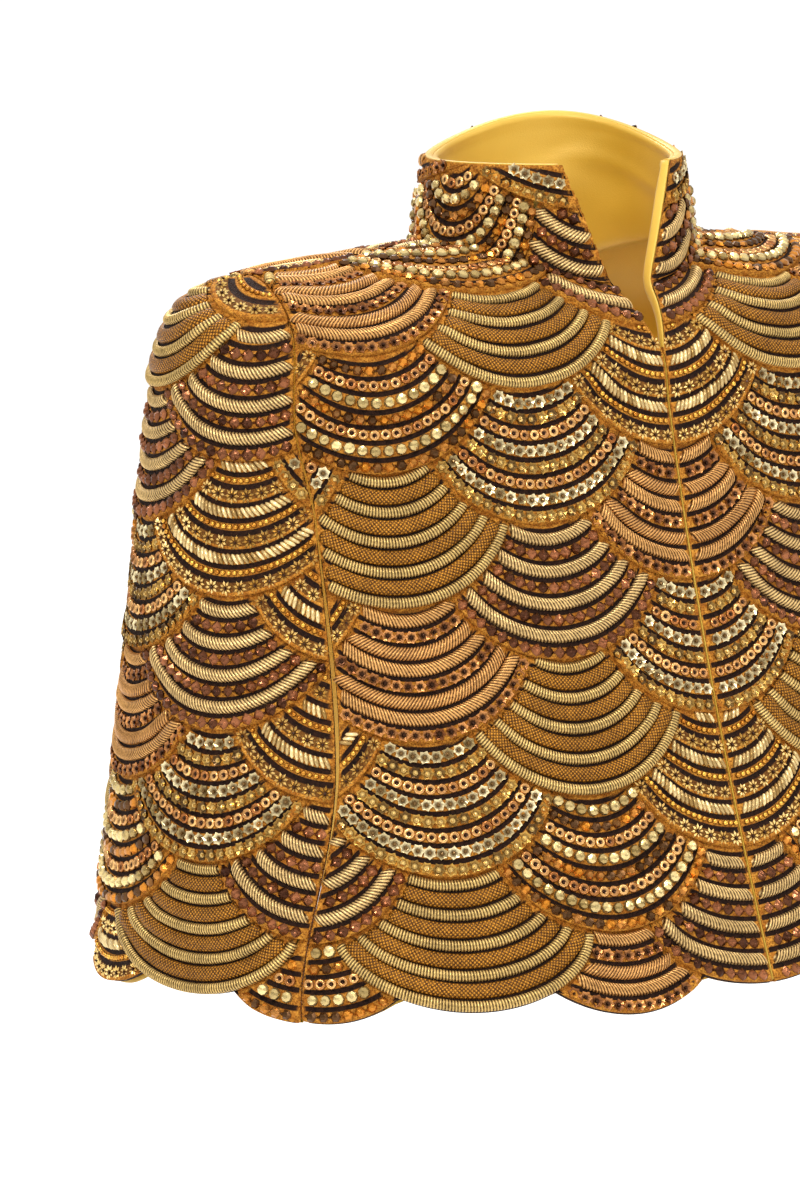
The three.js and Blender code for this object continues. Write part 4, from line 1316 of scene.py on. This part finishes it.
def make_pipings():
    """Rolled dark edges along the slits and the hem, and a satin one round the collar's rim."""
    slit, hem, back_hem, rim = Batch(), Batch(), Batch(), Batch()
    up = np.arange(LENGTH - SLIT["bottom"] + 6, LENGTH - SLIT["top"] - 4, 3.0)
    pipe_along(slit, FRONT_PANEL, FRONT_PANEL.limits(up)[1], up, "front_slit")
    pipe_along(slit, SIDE_PANEL, SIDE_PANEL.limits(up)[0], up, "side_slit")
    add_hem(hem, FRONT_PANEL)
    add_hem(hem, SIDE_PANEL)
    for side, mirrored in SIDES:
        slit.piece(f"slit_piping_{side}", [GROUND], "embroidered_cloth", mirrored)
        hem.piece(f"hem_piping_{side}", [GROUND], "embroidered_cloth", mirrored)
    add_hem(back_hem, BACK_PANEL)
    back_hem.piece("hem_piping_back", [GROUND], "embroidered_cloth")
    start = collar_edge()[0][-1] / COLLAR["round"]
    x = np.linspace(start + 0.01, 2 * math.pi - start - 0.01, 150) * COLLAR["round"]
    pipe_along(rim, COLLAR_PANEL, x, COLLAR_PANEL.ceiling(x) - 0.05, "rim")
    rim.piece("collar_rim_piping", [SATIN], "satin")


make_collar_lining()
make_facings()
make_opening_edges()
make_pipings()

# ---------- stage and light ----------
FLOOR_LEVEL = -0.75
FLOOR_HALF = 300.0
WORLD_STRENGTH = 1.3
SKY = ((0.0, 0.85), (0.15, 0.85), (0.2, 0.1), (0.6, 1.0))  # grey by height, pale where the floor ends
bpy.context.scene.view_settings.view_transform = "Standard"


def make_floor():
    signs = ((-1, -1), (1, -1), (1, 1), (-1, 1))
    corners = [(x * FLOOR_HALF, y * FLOOR_HALF, FLOOR_LEVEL) for x, y in signs]
    mesh = bpy.data.meshes.new("floor")
    mesh.from_pydata(corners, [], [(0, 1, 2, 3)])
    floor = add_object("floor", mesh)
    look = Look("pale_floor", 0.9, specular=0.1)
    look.colour(look.mix(look.noise(3.0), paint(246, 246, 246), paint(250, 250, 250)))
    mesh.materials.append(look.material)


def make_light(name, place, size, watts, target=(0, 0, -0.15)):
    data = bpy.data.lights.new(name, "AREA")
    data.shape, data.size, data.energy = "SQUARE", size, watts
    light = add_object(name, data)
    light.location = place
    light.rotation_euler = (Vector(target) - Vector(place)).to_track_quat("-Z", "Y").to_euler()


def make_world():
    world = bpy.context.scene.world or bpy.data.worlds.new("studio")
    bpy.context.scene.world = world
    world.use_nodes = True
    nodes, links = world.node_tree.nodes, world.node_tree.links
    background = nodes["Background"]
    place = nodes.new("ShaderNodeTexCoord")
    split = nodes.new("ShaderNodeSeparateXYZ")
    links.new(place.outputs["Generated"], split.inputs[0])
    ramp = nodes.new("ShaderNodeValToRGB")
    links.new(split.outputs[2], ramp.inputs[0])
    stops = ramp.color_ramp.elements
    while len(stops) < len(SKY):
        stops.new(0.5)
    for stop, (height, grey) in zip(stops, SKY):
        stop.position, stop.color = height, (grey, grey, grey, 1)
    links.new(ramp.outputs[0], background.inputs[0])
    background.inputs[1].default_value = WORLD_STRENGTH


make_floor()
make_world()
make_light("key", (-2.4, -2.4, 2.4), 0.6, 76)
make_light("fill", (2.2, -2.8, 1.8), 1.2, 14)
make_light("back", (0.8, 2.8, 2.6), 1.4, 50)
make_light("top", (0.0, -0.25, 1.5), 0.3, 6, (0, 0.02, -0.1))
